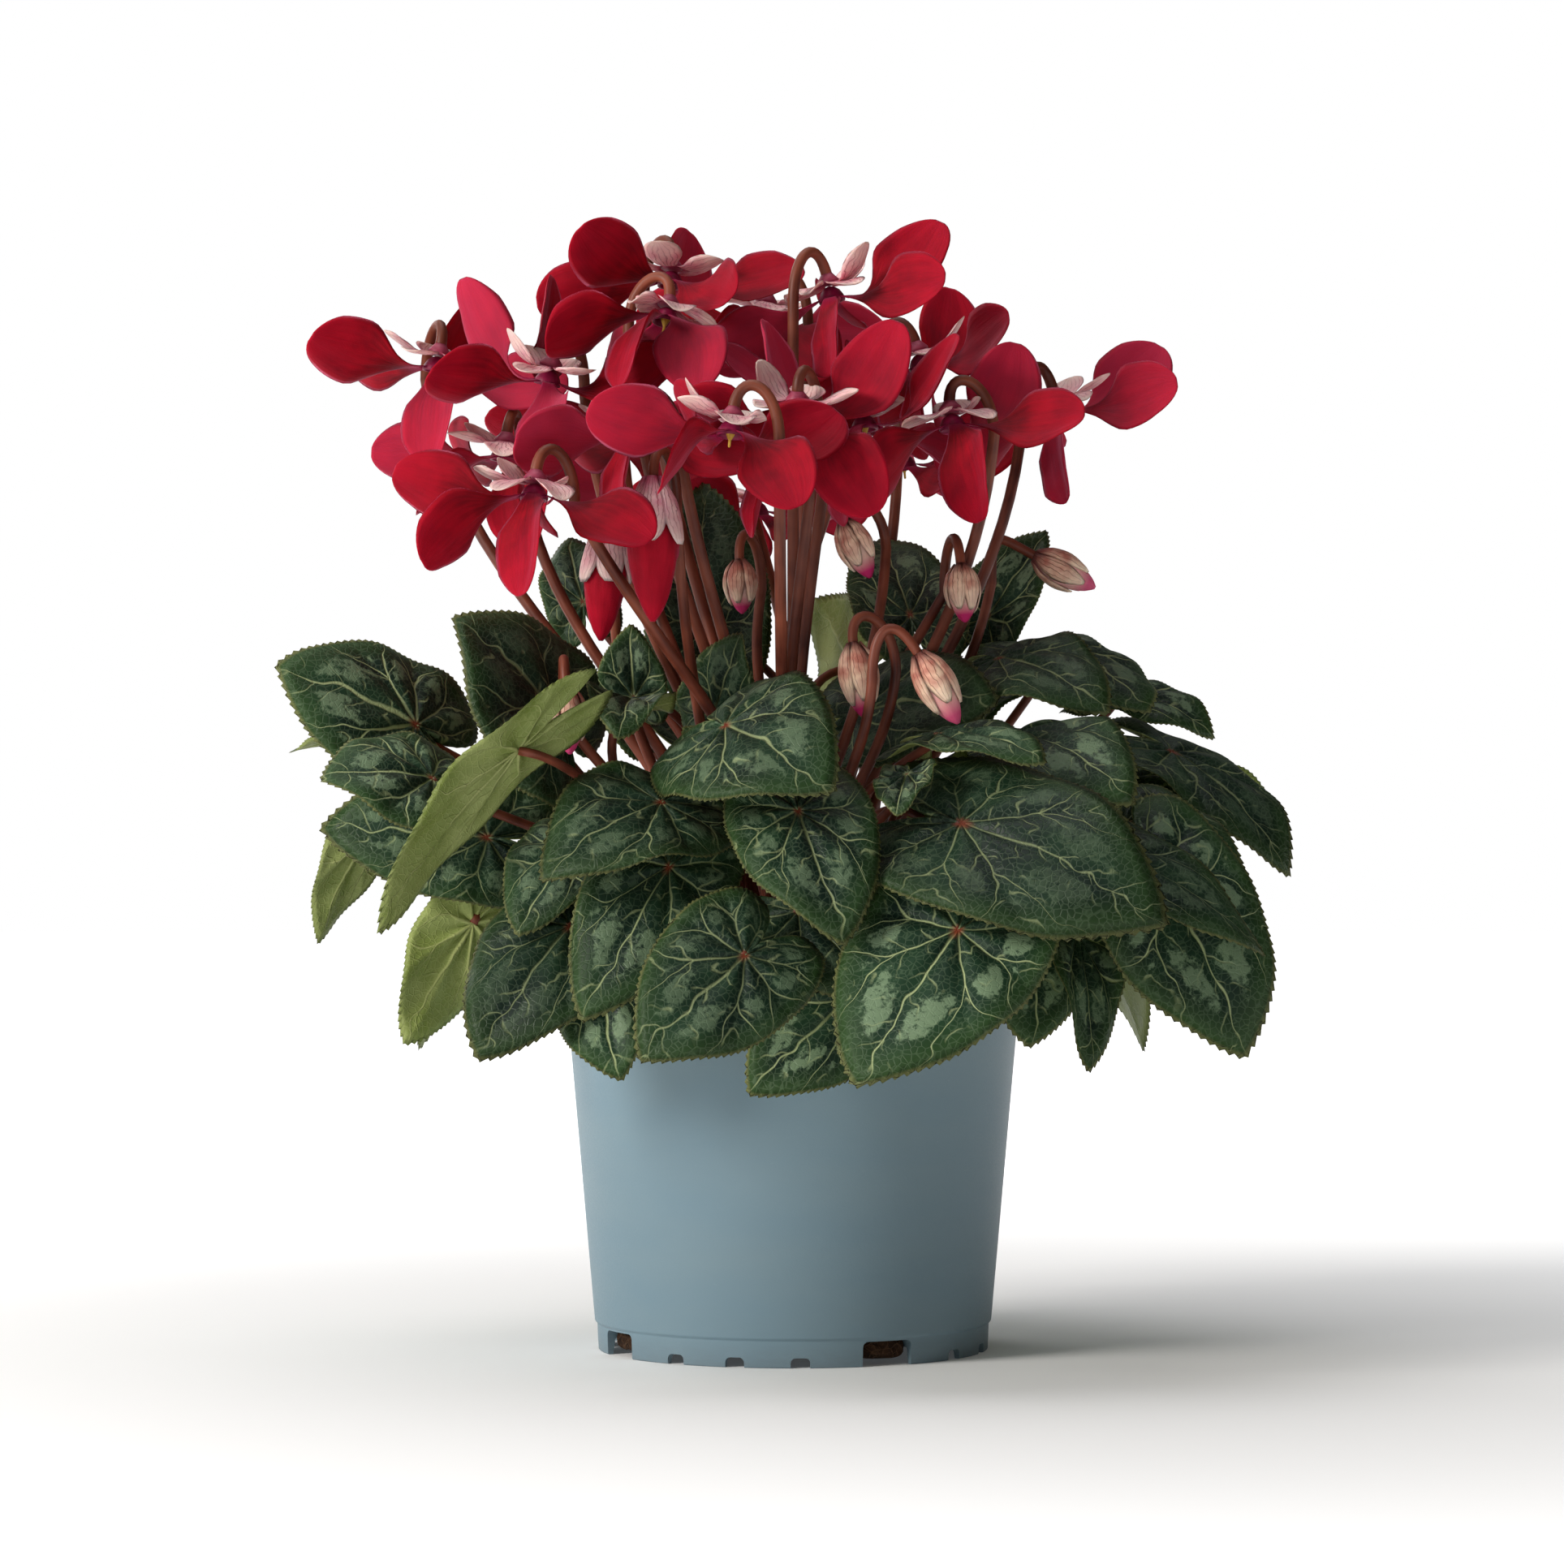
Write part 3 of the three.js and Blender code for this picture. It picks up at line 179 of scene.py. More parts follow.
def linear(hexColour):  # sRGB hex to linear colour
    parts = [int(hexColour[i:i + 2], 16) / 255 for i in (1, 3, 5)]
    return [c / 12.92 if c <= 0.04045 else ((c + 0.055) / 1.055) ** 2.4 for c in parts] + [1.0]


# meshes: points, faces, a material for each face and two UV maps for each corner

def newMesh():
    return {"points": [], "faces": [], "material": [], "place": [], "extra": []}


def addFaces(mesh, points, faces, material, place, extra, fan=False):
    # place and extra give two numbers for each point, or extra two for all; in a fan the first point takes
    # each face's own angle
    first = len(mesh["points"])
    extra = np.broadcast_to(extra, (len(points), 2)).tolist()
    mesh["points"].extend(np.asarray(points, float).tolist())
    for face in faces:
        angle = sum(place[i][0] for i in face if i) / sum(1 for i in face if i)
        mesh["faces"].append([first + i for i in face])
        mesh["material"].append(material)
        mesh["place"].extend((angle, 0) if fan and i == 0 else place[i] for i in face)
        mesh["extra"].extend(extra[i] for i in face)


def gridFaces(rows, columns, flipped=False):
    starts = [i * columns + k for i in range(rows - 1) for k in range(columns - 1)]
    return [[a, a + 1, a + columns + 1, a + columns][::-1 if flipped else 1] for a in starts]


def sheetNormals(points, faces):
    normals = np.zeros_like(points)
    for face in faces:
        a, b, c = points[face[0]], points[face[1]], points[face[-1]]
        normals[face] += np.cross(b - a, c - a)
    return unit(normals)


def addShell(mesh, grid, thick, material, place, extra):
    # a thin closed blade round a grid of points, drawn to a sharp edge all round
    size = grid.shape[:2]
    edge = np.ones(size)
    edge[0], edge[-1], edge[:, 0], edge[:, -1] = 0, 0, 0, 0
    edge[1:-1, [1, -2]] *= 0.7
    flat, faces = grid.reshape(-1, 3), gridFaces(*size)
    lift = (edge.reshape(-1, 1) * thick / 2) * sheetNormals(flat, faces)
    addFaces(mesh, flat + lift, faces, material, place, extra)
    addFaces(mesh, flat - lift, gridFaces(*size, True), material, place, extra)


def tubeFaces(rows, columns):
    # a grid rolled up, with a fan over each end; the ends' middle points follow the grid's
    count = rows * columns
    faces = gridFaces(rows, columns)
    faces += [[count, k + 1, k] for k in range(columns - 1)]
    last = count - columns
    return faces + [[count + 1, last + k, last + k + 1] for k in range(columns - 1)]


def addTube(mesh, line, radii, sides, material, tone):
    # a round stalk along a line
    line = np.asarray(line, float)
    ahead = unit(np.gradient(line, axis=0))
    side = unit(np.cross(ahead[0], [0.31, 0.95, 0.1]))
    turns = np.linspace(0, 2 * math.pi, sides + 1)
    length = np.concatenate([[0], np.cumsum(np.linalg.norm(np.diff(line, axis=0), axis=1))])
    rings, place = [], []
    for i, point in enumerate(line):
        side = unit(side - ahead[i] * (side @ ahead[i]))
        other = np.cross(ahead[i], side)
        rings.append([point + radii[i] * (math.cos(t) * side + math.sin(t) * other) for t in turns])
        place.extend((t / (2 * math.pi), length[i] / 100) for t in turns)
    points = np.concatenate([np.array(rings).reshape(-1, 3), line[[0, -1]]])
    place += [(0.5, 0), (0.5, length[-1] / 100)]
    addFaces(mesh, points, tubeFaces(len(line), sides + 1), material, place, (tone, 0))


def sideOf(axis):
    # some direction square to the axis
    return unit(np.cross(axis, [0.2, 0.9, 0.37]))


def addTurned(mesh, centre, axis, profile, sides, material, tone, side=None):
    # a surface turned about an axis from (distance along the axis, radius), in order
    side = sideOf(axis) if side is None else side
    other = np.cross(axis, side)
    turns = np.linspace(0, 2 * math.pi, sides + 1)
    points = [centre + axis * t + r * (math.cos(a) * side + math.sin(a) * other)
              for t, r in profile for a in turns]
    place = [(a / (2 * math.pi), i / (len(profile) - 1)) for i in range(len(profile)) for a in turns]
    addFaces(mesh, points, gridFaces(len(profile), sides + 1), material, place, (tone, 0))


weld, sliver = 4e-6, 1e-7  # metres


def addObject(name, data):
    thing = bpy.data.objects.new(name, data)
    bpy.context.scene.collection.objects.link(thing)
    return thing


def finishPiece(mesh, name, materials, nodes):
    data = bpy.data.meshes.new(name)
    points = (np.array(mesh["points"]) + shift) / 1000
    data.from_pydata(points.tolist(), [], mesh["faces"])
    for layer in ("place", "extra"):
        values = np.array(mesh[layer], np.float32).ravel()
        data.uv_layers.new(name=layer).data.foreach_set("uv", values)
    data.polygons.foreach_set("material_index", mesh["material"])
    for material in materials:
        data.materials.append(material)
    bm = bmesh.new()
    bm.from_mesh(data)
    bmesh.ops.remove_doubles(bm, verts=bm.verts, dist=weld)
    bmesh.ops.dissolve_degenerate(bm, edges=bm.edges, dist=sliver)
    for face in bm.faces:
        face.smooth = True
    bm.to_mesh(data)
    bm.free()
    piece = addObject(name, data)
    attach(piece, "root")
    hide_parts(*nodes)
    return piece


# the solids' own choices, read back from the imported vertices

def verticesOf(names):
    found = [np.array([v.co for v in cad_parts[name].data.vertices]) * 1000 - shift for name in names]
    return np.concatenate(found), np.repeat(np.arange(len(names)), [len(f) for f in found])


def middleOf(points):
    return (points.min(0) + points.max(0)) / 2


def treeOf(points):
    tree = KDTree(len(points))
    for i, point in enumerate(points):
        tree.insert(point, i)
    tree.balance()
    return tree


def bestOf(choices, pointsOf, distance, tree):
    # the choice whose points lie nearest to their distance from a packed vertex
    best, least = None, math.inf
    for choice in choices:
        points = pointsOf(choice)
        error = 0
        for point, gap in zip(points, np.broadcast_to(distance, len(points))):
            error = max(error, abs(tree.find(point)[2] - gap))
            if error > least:
                break
        if error < least:
            best, least = choice, error
        if least < closeEnough:
            break
    misfits.append(least)
    return best


closeEnough, level = 0.02, 0.05  # mm: a good fit, and how near points of one height lie
seeds = {"leaf": 100, "bloom": 300, "bud": 500}
misfits = []
room = {"slides": range(0, 33, 2), "turns": (0, -8, 8, -16, 16), "shares": (1, 0.85, 0.7),
        "bows": (6, 12, 20, 28)}
bows = [np.zeros(3)] + [heading(a) * b for b in room["bows"] for a in range(0, 360, 45)]
changes = [(turn, lift) for turn in room["turns"] for lift in room["turns"]]
changes.sort(key=lambda c: math.hypot(*c))
bothWays = [s for slide in room["slides"] for s in (-slide, slide)]
halfSolid = 0.4  # half the solids' blade thickness


# leaves

leafShape = {
    "outline": [(0, 1), (25, 0.8), (55, 0.66), (90, 0.58), (125, 0.58), (155, 0.5), (180, 0.1)],
    "halfWidth": 0.6,
    "rings": (0.05, 0.14, 0.26, 0.38, 0.5, 0.61, 0.72, 0.82, 0.9),
    "spokes": 96, "toothHeight": 0.024, "tooth": (0, 1, 0.45),
    "thick": 0.5, "veinStep": 40, "veinSink": 0.5, "veinWide": 1.3, "quilt": 0.8, "frill": 0.95,
    "slim": {44: 0.74},  # the leaf that shows its underside is drawn narrower than its solid, in place of its fold
}
petioleShape = {
    "radius": 1.2, "taper": (1.15, 0.95), "steps": 22, "sides": 10, "apart": 1.35,
    "joint": 1.6, "behind": 13, "least": 122, "rise": (22, 0.45), "spread": (5, 4),
    "knobRadius": 3, "knobHeight": 2.2, "knobSides": 14, "knobReach": 24,
    "knob": [(0, 0), (0, 0.9), (0.4, 1), (1, 0.75), (1.15, 0.4), (1.2, 0)],
}
backRings = [(4, 35, 145, (52, 168), (84, 172), 62), (5, 24, 160, (78, 140), (118, 128), 46),
             (5, 24, 158, (80, 112), (104, 76), 20)]
backShape = (0.9, 4, -3, 1.5)


def leafRows():
    rows = [dict(zip(("base", "tip", "face", "broad", "arch", "cup", "wave"), row), push=viewer)
            for row in frontLeaves]
    for count, start, end, base, tip, face in backRings:
        for i in range(count):
            azimuth = start + (end - start) * i / (count - 1)
            out = heading(azimuth)
            rows.append(dict(zip(("broad", "arch", "cup", "wave"), backShape), push=out, face=(azimuth, face),
                             base=out * base[0] + upward * base[1], tip=out * tip[0] + upward * tip[1]))
    for i, row in enumerate(rows):
        row["phase"] = (i * 2.4) % (2 * math.pi)
    return rows


def leafAxes(leaf, slide=0, turn=0, lift=0):
    base, tip = np.array(leaf["base"], float), np.array(leaf["tip"], float)
    x = unit(tip - base)
    face = heading(leaf["face"][0] + turn, leaf["face"][1] + lift)
    z = unit(face - x * (face @ x))
    return {"base": base + leaf["push"] * slide, "length": np.linalg.norm(tip - base),
            "x": x, "y": np.cross(z, x), "z": z}


def leafPoints(leaf, axes, degrees, share, extra=0.0):
    # points of the blade's middle surface: degrees from the midrib, share of the way to the margin
    degrees, share = np.asarray(degrees, float), np.asarray(share, float)
    radius = smoothLine(leafShape["outline"], np.abs(degrees)) * share
    turn = np.radians(degrees)
    s = radius * np.cos(turn)
    across = radius * np.sin(turn) * leaf["broad"]
    bend = 4 * leaf["arch"] * s * (1 - s) + leaf["cup"] * (across / leafShape["halfWidth"]) ** 2
    ripple = leaf["wave"] * share ** 3 * np.sin(3 * turn + leaf["phase"])
    return (axes["base"] + np.outer(s * axes["length"], axes["x"])
            + np.outer(across * axes["length"], axes["y"]) + np.outer(bend + ripple + extra, axes["z"]))


def petioleLine(axes, root, bow, count):
    shape = petioleShape
    end = axes["base"] - axes["z"] * shape["joint"]
    outward = unit([end[0], end[1], 0])
    rise = max(shape["rise"][0], (end[2] - crown) * shape["rise"][1])
    low, high = shape["spread"]
    back = shape["behind"]
    behind = end - axes["z"] * back - axes["x"] * back / 2 - outward * high + bow * 0.8
    behind[2] = max(behind[2], shape["least"])  # well above the pot's rim
    return bezier((root, root + upward * rise + outward * low + bow, behind, end), count)


def knobOf(node):
    # the middle of the foot of the knob that a spray's stalks leave
    points = verticesOf([node])[0]
    near = np.hypot(points[:, 0], points[:, 1]) < petioleShape["knobReach"]
    return middleOf(points[near & (abs(points[:, 2] - crown - seat) < level)])


def rootsOf(node):
    knob = knobOf(node)
    outward = unit([knob[0], knob[1], 0])
    onward = np.cross(upward, outward)
    apart = petioleShape["apart"]
    return [knob + onward * a * apart + outward * b * apart + upward * petioleShape["knobHeight"] / 2
            for a in (-1, 1) for b in (-1, 1)]


def placeLeaves(names):
    vertices, owner = verticesOf(names)
    tree = treeOf(vertices)
    shifts = [(slide, turn, lift) for slide in room["slides"] for turn, lift in changes]
    shifts.sort(key=lambda s: s[0] + math.hypot(s[1], s[2]))
    rim = np.array([0, 90, -90, 125, -125, 55, -25])
    for leaf in leafRows():
        choice = bestOf(shifts, lambda s: leafPoints(leaf, leafAxes(leaf, *s), rim, 1.0), halfSolid, tree)
        axes = leafAxes(leaf, *choice)
        node = names[owner[tree.find(leafPoints(leaf, axes, [0], 1.0)[0])[1]]]
        own = treeOf(verticesOf([node])[0])
        stalks = [(root, bow) for bow in bows for root in rootsOf(node)]
        root, bow = bestOf(stalks, lambda c: petioleLine(axes, *c, 5)[2:], petioleShape["radius"], own)
        yield node, leaf, axes, root, bow


def leafBlade(mesh, leaf, axes, slim, chance):
    # rings of points round the stalk's joint, three times as close together near the toothed margin
    shape = leafShape
    leaf = {**leaf, "broad": leaf["broad"] * slim}
    spokes, step = shape["spokes"], shape["veinStep"]
    coarse, fine = (np.linspace(-180, 180, spokes * k + 1) for k in (1, 3))
    tone, lean, curl = chance.random(), chance.uniform(-4, 4), chance.uniform(0, 6.28)
    tooth = 1 + shape["toothHeight"] * np.array(shape["tooth"])[np.arange(len(fine)) % 3]
    rings = [(share, coarse) for share in shape["rings"][:-2]]
    rings += [(share, fine) for share in (*shape["rings"][-2:], 1.0)]
    points, place, extra, starts = [leafPoints(leaf, axes, [0], 0)], [(0, 0)], [(0, tone)], []
    for number, (share, angles) in enumerate(rings):
        reach = smoothLine(shape["outline"], np.abs(angles)) * share * axes["length"]
        veinGap = np.abs((angles + lean + step / 2) % step - step / 2)
        fade = easeIn(share, 0, 0.12) * (1 - easeIn(share, 0.75, 1))
        cushion = shape["quilt"] * np.sin(np.pi * veinGap / step) ** 2
        groove = shape["veinSink"] * np.exp(-(np.radians(veinGap) * reach / shape["veinWide"]) ** 2)
        frill = shape["frill"] * share ** 4 * np.sin(np.radians(angles) * 7 + curl)
        shares = tooth if number == len(rings) - 1 else np.full(len(angles), share)
        starts.append(sum(len(p) for p in points))
        points.append(leafPoints(leaf, axes, angles, shares, (cushion - groove) * fade + frill))
        place.extend(zip(angles / 360, shares))
        extra.extend((r / 100, tone) for r in reach)
    points = np.concatenate(points)
    faces = [[0, starts[0] + k, starts[0] + k + 1] for k in range(spokes)]
    counts = [len(angles) - 1 for _, angles in rings]
    for low, high, inner, outer in zip(starts, starts[1:], counts, counts[1:]):
        if inner == outer:
            faces += [[low + k, high + k, high + k + 1, low + k + 1] for k in range(inner)]
            continue
        for k in range(spokes):
            a, b = low + k, high + 3 * k
            faces += [[a, b, b + 1], [a, b + 1, a + 1], [a + 1, b + 1, b + 2], [a + 1, b + 2, b + 3]]
    normals = sheetNormals(points, faces)
    for start, count in zip(starts, counts):
        seam = [start, start + count]  # both edges of the blade's join share one direction
        normals[seam] = unit(normals[seam].sum(axis=0)[None, :])
    normals *= shape["thick"] / 2
    normals[starts[-1]:] = 0
    addFaces(mesh, points + normals, faces, 0, place, extra, True)
    addFaces(mesh, points - normals, [face[::-1] for face in faces], 1, place, extra, True)


def addKnob(mesh, name, material):
    # the low knob that a spray's stalks leave
    r, h = petioleShape["knobRadius"], petioleShape["knobHeight"]
    profile = [(h * along, r * out) for along, out in petioleShape["knob"]]
    addTurned(mesh, knobOf(name), upward, profile, petioleShape["knobSides"], material, 0.5)


def addLeaf(mesh, number, leaf, axes, root, bow):
    chance = random.Random(seeds["leaf"] + number)
    leafBlade(mesh, leaf, axes, leafShape["slim"].get(number, 1), chance)
    line = petioleLine(axes, root, bow, petioleShape["steps"])
    line[-1] = axes["base"] - axes["z"] * 0.3
    taper = np.linspace(*petioleShape["taper"], len(line)) * petioleShape["radius"]
    addTube(mesh, line, taper, petioleShape["sides"], 2, chance.random())


def buildSprays(prefix, title, materials, stalk, placed, addOne):
    # stalk is the number of the stalks' material
    names = sorted(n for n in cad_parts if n.startswith(prefix))
    sprays = {name: newMesh() for name in names}
    for number, (node, *found) in enumerate(placed(names)):
        addOne(sprays[node], number, *found)
    for number, name in enumerate(names, 1):
        addKnob(sprays[name], name, stalk)
        finishPiece(sprays[name], f"{title}{number:02d}", materials, [name])
    print(title, len(names), "worst fit", round(max(misfits), 3))


# blooms

petalShape = {
    "reach": 36, "cup": 2.4, "depth": 5, "fall": 0.35, "radius": 3.1, "apex": 2.1,
    "widths": [(0, 1.6), (0.14, 2.2), (0.32, 4), (0.62, 9.8)],
    "solidWidths": [(0.32, 3.6), (0.62, 9.6), (0.86, 7.8)],
    "round": 2.3, "thick": 0.45, "rows": 22, "columns": 15, "relief": 1,
}
sepalShape = {
    "reach": 16, "cup": 1.4, "depth": 1, "fall": 0.4, "radius": 2.6,
    "short": 8.6,                  # its length where the stalk passes
    "above": 10, "steepest": 26,   # degrees that it stands above the petals beside it, and its most
    "widths": [(0, 1.5), (0.25, 3), (0.62, 5.3)], "solidWidths": [(0.62, 4.8)],
    "round": 1.9, "thick": 0.4, "rows": 12, "columns": 11, "relief": 0.45,
}
stemShape = {
    "radius": 1.5, "reach": 11.5, "drop": 7, "rise": 15, "entry": 12, "shaftSteps": 22, "hookSteps": 16,
    "sides": 12, "taper": ((0, 0.5, 0.9, 1), (1.12, 1, 0.92, 1.05)),
    "low": (0.45, 0.19), "high": (0.38, 0.09),  # shares of the height and of the lean at the shaft's handles
}
middleShape = {
    # distance along the bloom's axis and radius, in mm
    "tube": [(1.75, 0), (2.1, 1.3), (3.1, 2.5), (4.4, 3.2), (5.4, 3.55), (6.1, 3.4), (6, 2.9), (5, 2.7),
             (3.6, 2.1), (3.2, 0)],
    "stamens": [(3, 0), (3.3, 1.6), (5, 1.3), (6.6, 0.6), (7, 0.35), (8.6, 0.3), (8.8, 0)],  # and the style
    "ring": [(-1.6, 0), (-1.6, 1.45), (-0.7, 2.1), (0.3, 2.95), (1.1, 3), (1.5, 2.3), (1.35, 0)],
    "sides": 20,
}


def bloomAxes(hub, nod, slide=0):
    return {"axis": heading(nod[1], nod[0] - 90), "hub": np.array(hub, float) + viewer * slide}


def bladePoints(axes, shape, leaflet, u, v, halfWidth, waves=0.0, cupShare=1.0):
    # points of a petal or sepal: u along it, v across it from -1 to 1
    turn, lift, twist, reach = leaflet
    u, v, halfWidth = (np.asarray(a, float) for a in (u, v, halfWidth))
    axis, flat = axes["axis"], heading(turn)
    radial = unit(flat - axis * (flat @ axis))
    start = axes["hub"] + axis * shape["depth"] + radial * shape["radius"]
    knee = start + unit(radial + axis * shape["fall"]) * 0.36 * reach
    out, rise = math.cos(math.radians(lift)), math.sin(math.radians(lift))
    end = start + (radial * out - axis * rise) * (reach - shape["radius"])
    t = u[:, None]
    line = start * (1 - t) ** 2 + knee * 2 * t * (1 - t) + end * t * t
    ahead = unit((knee - start) * 2 * (1 - t) + (end - knee) * 2 * t)
    across = np.cross(axis, radial)
    width = unit(across - ahead * (ahead @ across)[:, None])
    share = easeIn(u, 0, 0.65)
    angle = np.radians(twist * share)[:, None]
    width = width * np.cos(angle) + np.cross(ahead, width) * np.sin(angle)
    normal = np.cross(ahead, width)
    bend = waves - shape["cup"] * cupShare * v * v * share
    return line + width * (v * halfWidth)[:, None] + normal * bend[:, None]


def halfWidths(shape, u):
    u = np.asarray(u, float)
    widest = shape["widths"][-1]
    closing = np.clip((u - widest[0]) / (1 - widest[0]), 0, 1)
    return np.where(u < widest[0], smoothLine(shape["widths"] + [(1, widest[1])], u),
                    widest[1] * np.sqrt(np.clip(1 - closing ** shape["round"], 0, 1)))


def addLeaflet(mesh, axes, shape, leaflet, material, chance):
    half, columns = shape["rows"] // 2, shape["columns"]
    widest = shape["widths"][-1][0]
    closing = np.sin(np.radians(np.linspace(0, 82, half + 1)))  # closer rows near the round tip
    along = np.concatenate([np.linspace(0, widest, half + 1), widest + (1 - widest) * closing[1:]])
    u, v = (a.ravel() for a in np.meshgrid(along, np.linspace(-1, 1, columns), indexing="ij"))
    phase, bend = chance.uniform(0, 6.28), chance.uniform(-1, 1)
    widths = halfWidths(shape, u)
    wide = np.clip(1.2 * widths / shape["widths"][-1][1], 0, 1) ** 2  # a narrow end neither cups nor waves
    lengthwise = 0.5 * np.sin(5 * u + phase) * u
    crosswise = 0.14 * np.sin(9 * v + phase) * easeIn(u, 0.1, 0.6) * wide
    crinkle = 0.6 * np.abs(v) ** 3 * np.sin(7 * u + phase * 2) * u * wide
    waves = shape["relief"] * (lengthwise + crosswise + 0.9 * bend * v * u * u * wide + crinkle)
    points = bladePoints(axes, shape, leaflet, u, v, widths, waves, wide)
    grid = points.reshape(len(along), columns, 3)
    addShell(mesh, grid, shape["thick"], material, list(zip(v * 0.5 + 0.5, u)), (chance.random(), 0))


def stemLine(root, axes, side, bow, shaftSteps, hookSteps):
    shape = stemShape
    beside = axes["hub"] + heading(side) * shape["reach"] - upward * shape["drop"]
    lean = np.array([beside[0] - root[0], beside[1] - root[1], 0])
    height = beside[2] - root[2]
    low = root + upward * height * shape["low"][0] + lean * shape["low"][1] + bow
    high = beside - upward * height * shape["high"][0] - lean * shape["high"][1] + bow
    shaft = bezier((root, low, high, beside), shaftSteps)
    arch = bezier((beside, beside + upward * shape["rise"], axes["hub"] - axes["axis"] * shape["entry"],
                   axes["hub"]), hookSteps)
    return np.concatenate([shaft, arch[1:]])


def sepalGaps(corolla):
    # a sepal over each gap between two petals
    gaps = []
    for here, after in zip(corolla, corolla[1:] + corolla[:1]):
        turn = here[0] - ((here[0] - after[0]) % 360) / 2
        gaps.append((turn, min(sepalShape["steepest"], (here[1] + after[1]) / 2 + sepalShape["above"])))
    return gaps


def fitLeaflets(axes, shape, leaflets, tree):
    places = [(along, side, half) for along, half in shape["solidWidths"] for side in (-1, 0, 1)]
    u, v, w = zip(*places, (1, 0, 0))
    fitted = []
    for turn, lift, twist, reach in leaflets:
        choices = [(turn + a, lift + b, twist, reach * share) for share in room["shares"] for a, b in changes]
        fitted.append(bestOf(choices, lambda c: bladePoints(axes, shape, c, u, v, w), halfSolid, tree))
    return fitted


def placeBloom(number, row):
    hub, nod, twist, petals = row
    name = f"bloom_{number:02d}"
    petalTree = treeOf(verticesOf([name + "_petals"])[0])
    apex = bloomAxes(hub, nod)["axis"] * petalShape["apex"]
    slide = bestOf(bothWays, lambda s: [bloomAxes(hub, nod, s)["hub"] + apex], halfSolid, petalTree)
    axes = bloomAxes(hub, nod, slide)
    order = sorted(petals, key=lambda petal: -petal[0])
    leaflets = [(turn, lift, twist, petalShape["reach"]) for turn, lift in order]
    corolla = fitLeaflets(axes, petalShape, leaflets, petalTree)
    stemPoints = verticesOf([name + "_stem"])[0]
    stemTree = treeOf(stemPoints)
    root = middleOf(stemPoints[stemPoints[:, 2] < stemPoints[:, 2].min() + level])
    gaps = sepalGaps(corolla)
    choices = [(side, bow) for side, _ in gaps for bow in bows]
    side, bow = bestOf(choices, lambda c: stemLine(root, axes, *c, 4, 4)[1:-1], stemShape["radius"], stemTree)
    leaflets = [(turn, lift, 0, sepalShape["short" if turn == side else "reach"]) for turn, lift in gaps]
    calyx = fitLeaflets(axes, sepalShape, leaflets, stemTree)
    return axes, corolla, calyx, root, side, bow


def buildBlooms(petalMaterials, stemMaterials):
    for number, row in enumerate(blooms, 1):
        axes, corolla, calyx, root, side, bow = placeBloom(number, row)
        chance = random.Random(seeds["bloom"] + number)
        hub, axis = axes["hub"], axes["axis"]
        petals = newMesh()
        for leaflet in corolla:
            addLeaflet(petals, axes, petalShape, leaflet, 0, chance)
        addTurned(petals, hub, axis, middleShape["tube"], middleShape["sides"], 1, chance.random())
        addTurned(petals, hub, axis, middleShape["stamens"], middleShape["sides"] // 2, 2, 0.5)
        node = f"bloom_{number:02d}"
        finishPiece(petals, f"bloomPetals{number:02d}", petalMaterials, [node + "_petals"])
        stem = newMesh()
        line = stemLine(root, axes, side, bow, stemShape["shaftSteps"], stemShape["hookSteps"])
        taper = np.interp(np.linspace(0, 1, len(line)), *stemShape["taper"]) * stemShape["radius"]
        addTube(stem, line, taper, stemShape["sides"], 0, chance.random())
        addTurned(stem, hub, axis, middleShape["ring"], middleShape["sides"], 2, chance.random())
        for leaflet in calyx:
            addLeaflet(stem, axes, sepalShape, leaflet, 1, chance)
        finishPiece(stem, f"bloomStem{number:02d}", stemMaterials, [node + "_stem"])
    print("blooms", len(blooms), "worst fit", round(max(misfits), 3))


# buds

budShape = {
    "profile": [(0, 0.32), (0.06, 0.45), (0.2, 0.82), (0.45, 1), (0.75, 0.72), (0.92, 0.38), (1, 0.1)],
    "solid": [(0.45, 1), (1, 0.16)],
    "rows": 26, "sides": 30, "furl": 0.1, "wind": 150, "sepals": 5, "sepalRows": 12, "sepalColumns": 7,
    "sepalLift": 0.25, "thick": 0.4,
}
closedBud = {"open": 0, "petalMaterial": 2, "sepalMaterial": 1, "calyx": 0.8, "flare": 0.15, "sepalWidth": 37}
furledBud = {"open": 1, "petalMaterial": 3, "sepalMaterial": 4, "calyx": 0.5, "flare": 0.5, "sepalWidth": 43}
furledLength = 25  # buds longer than this show their petals


def budRadius(bud, share):
    return float(smoothLine(budShape["profile"], share)) * bud["girth"]


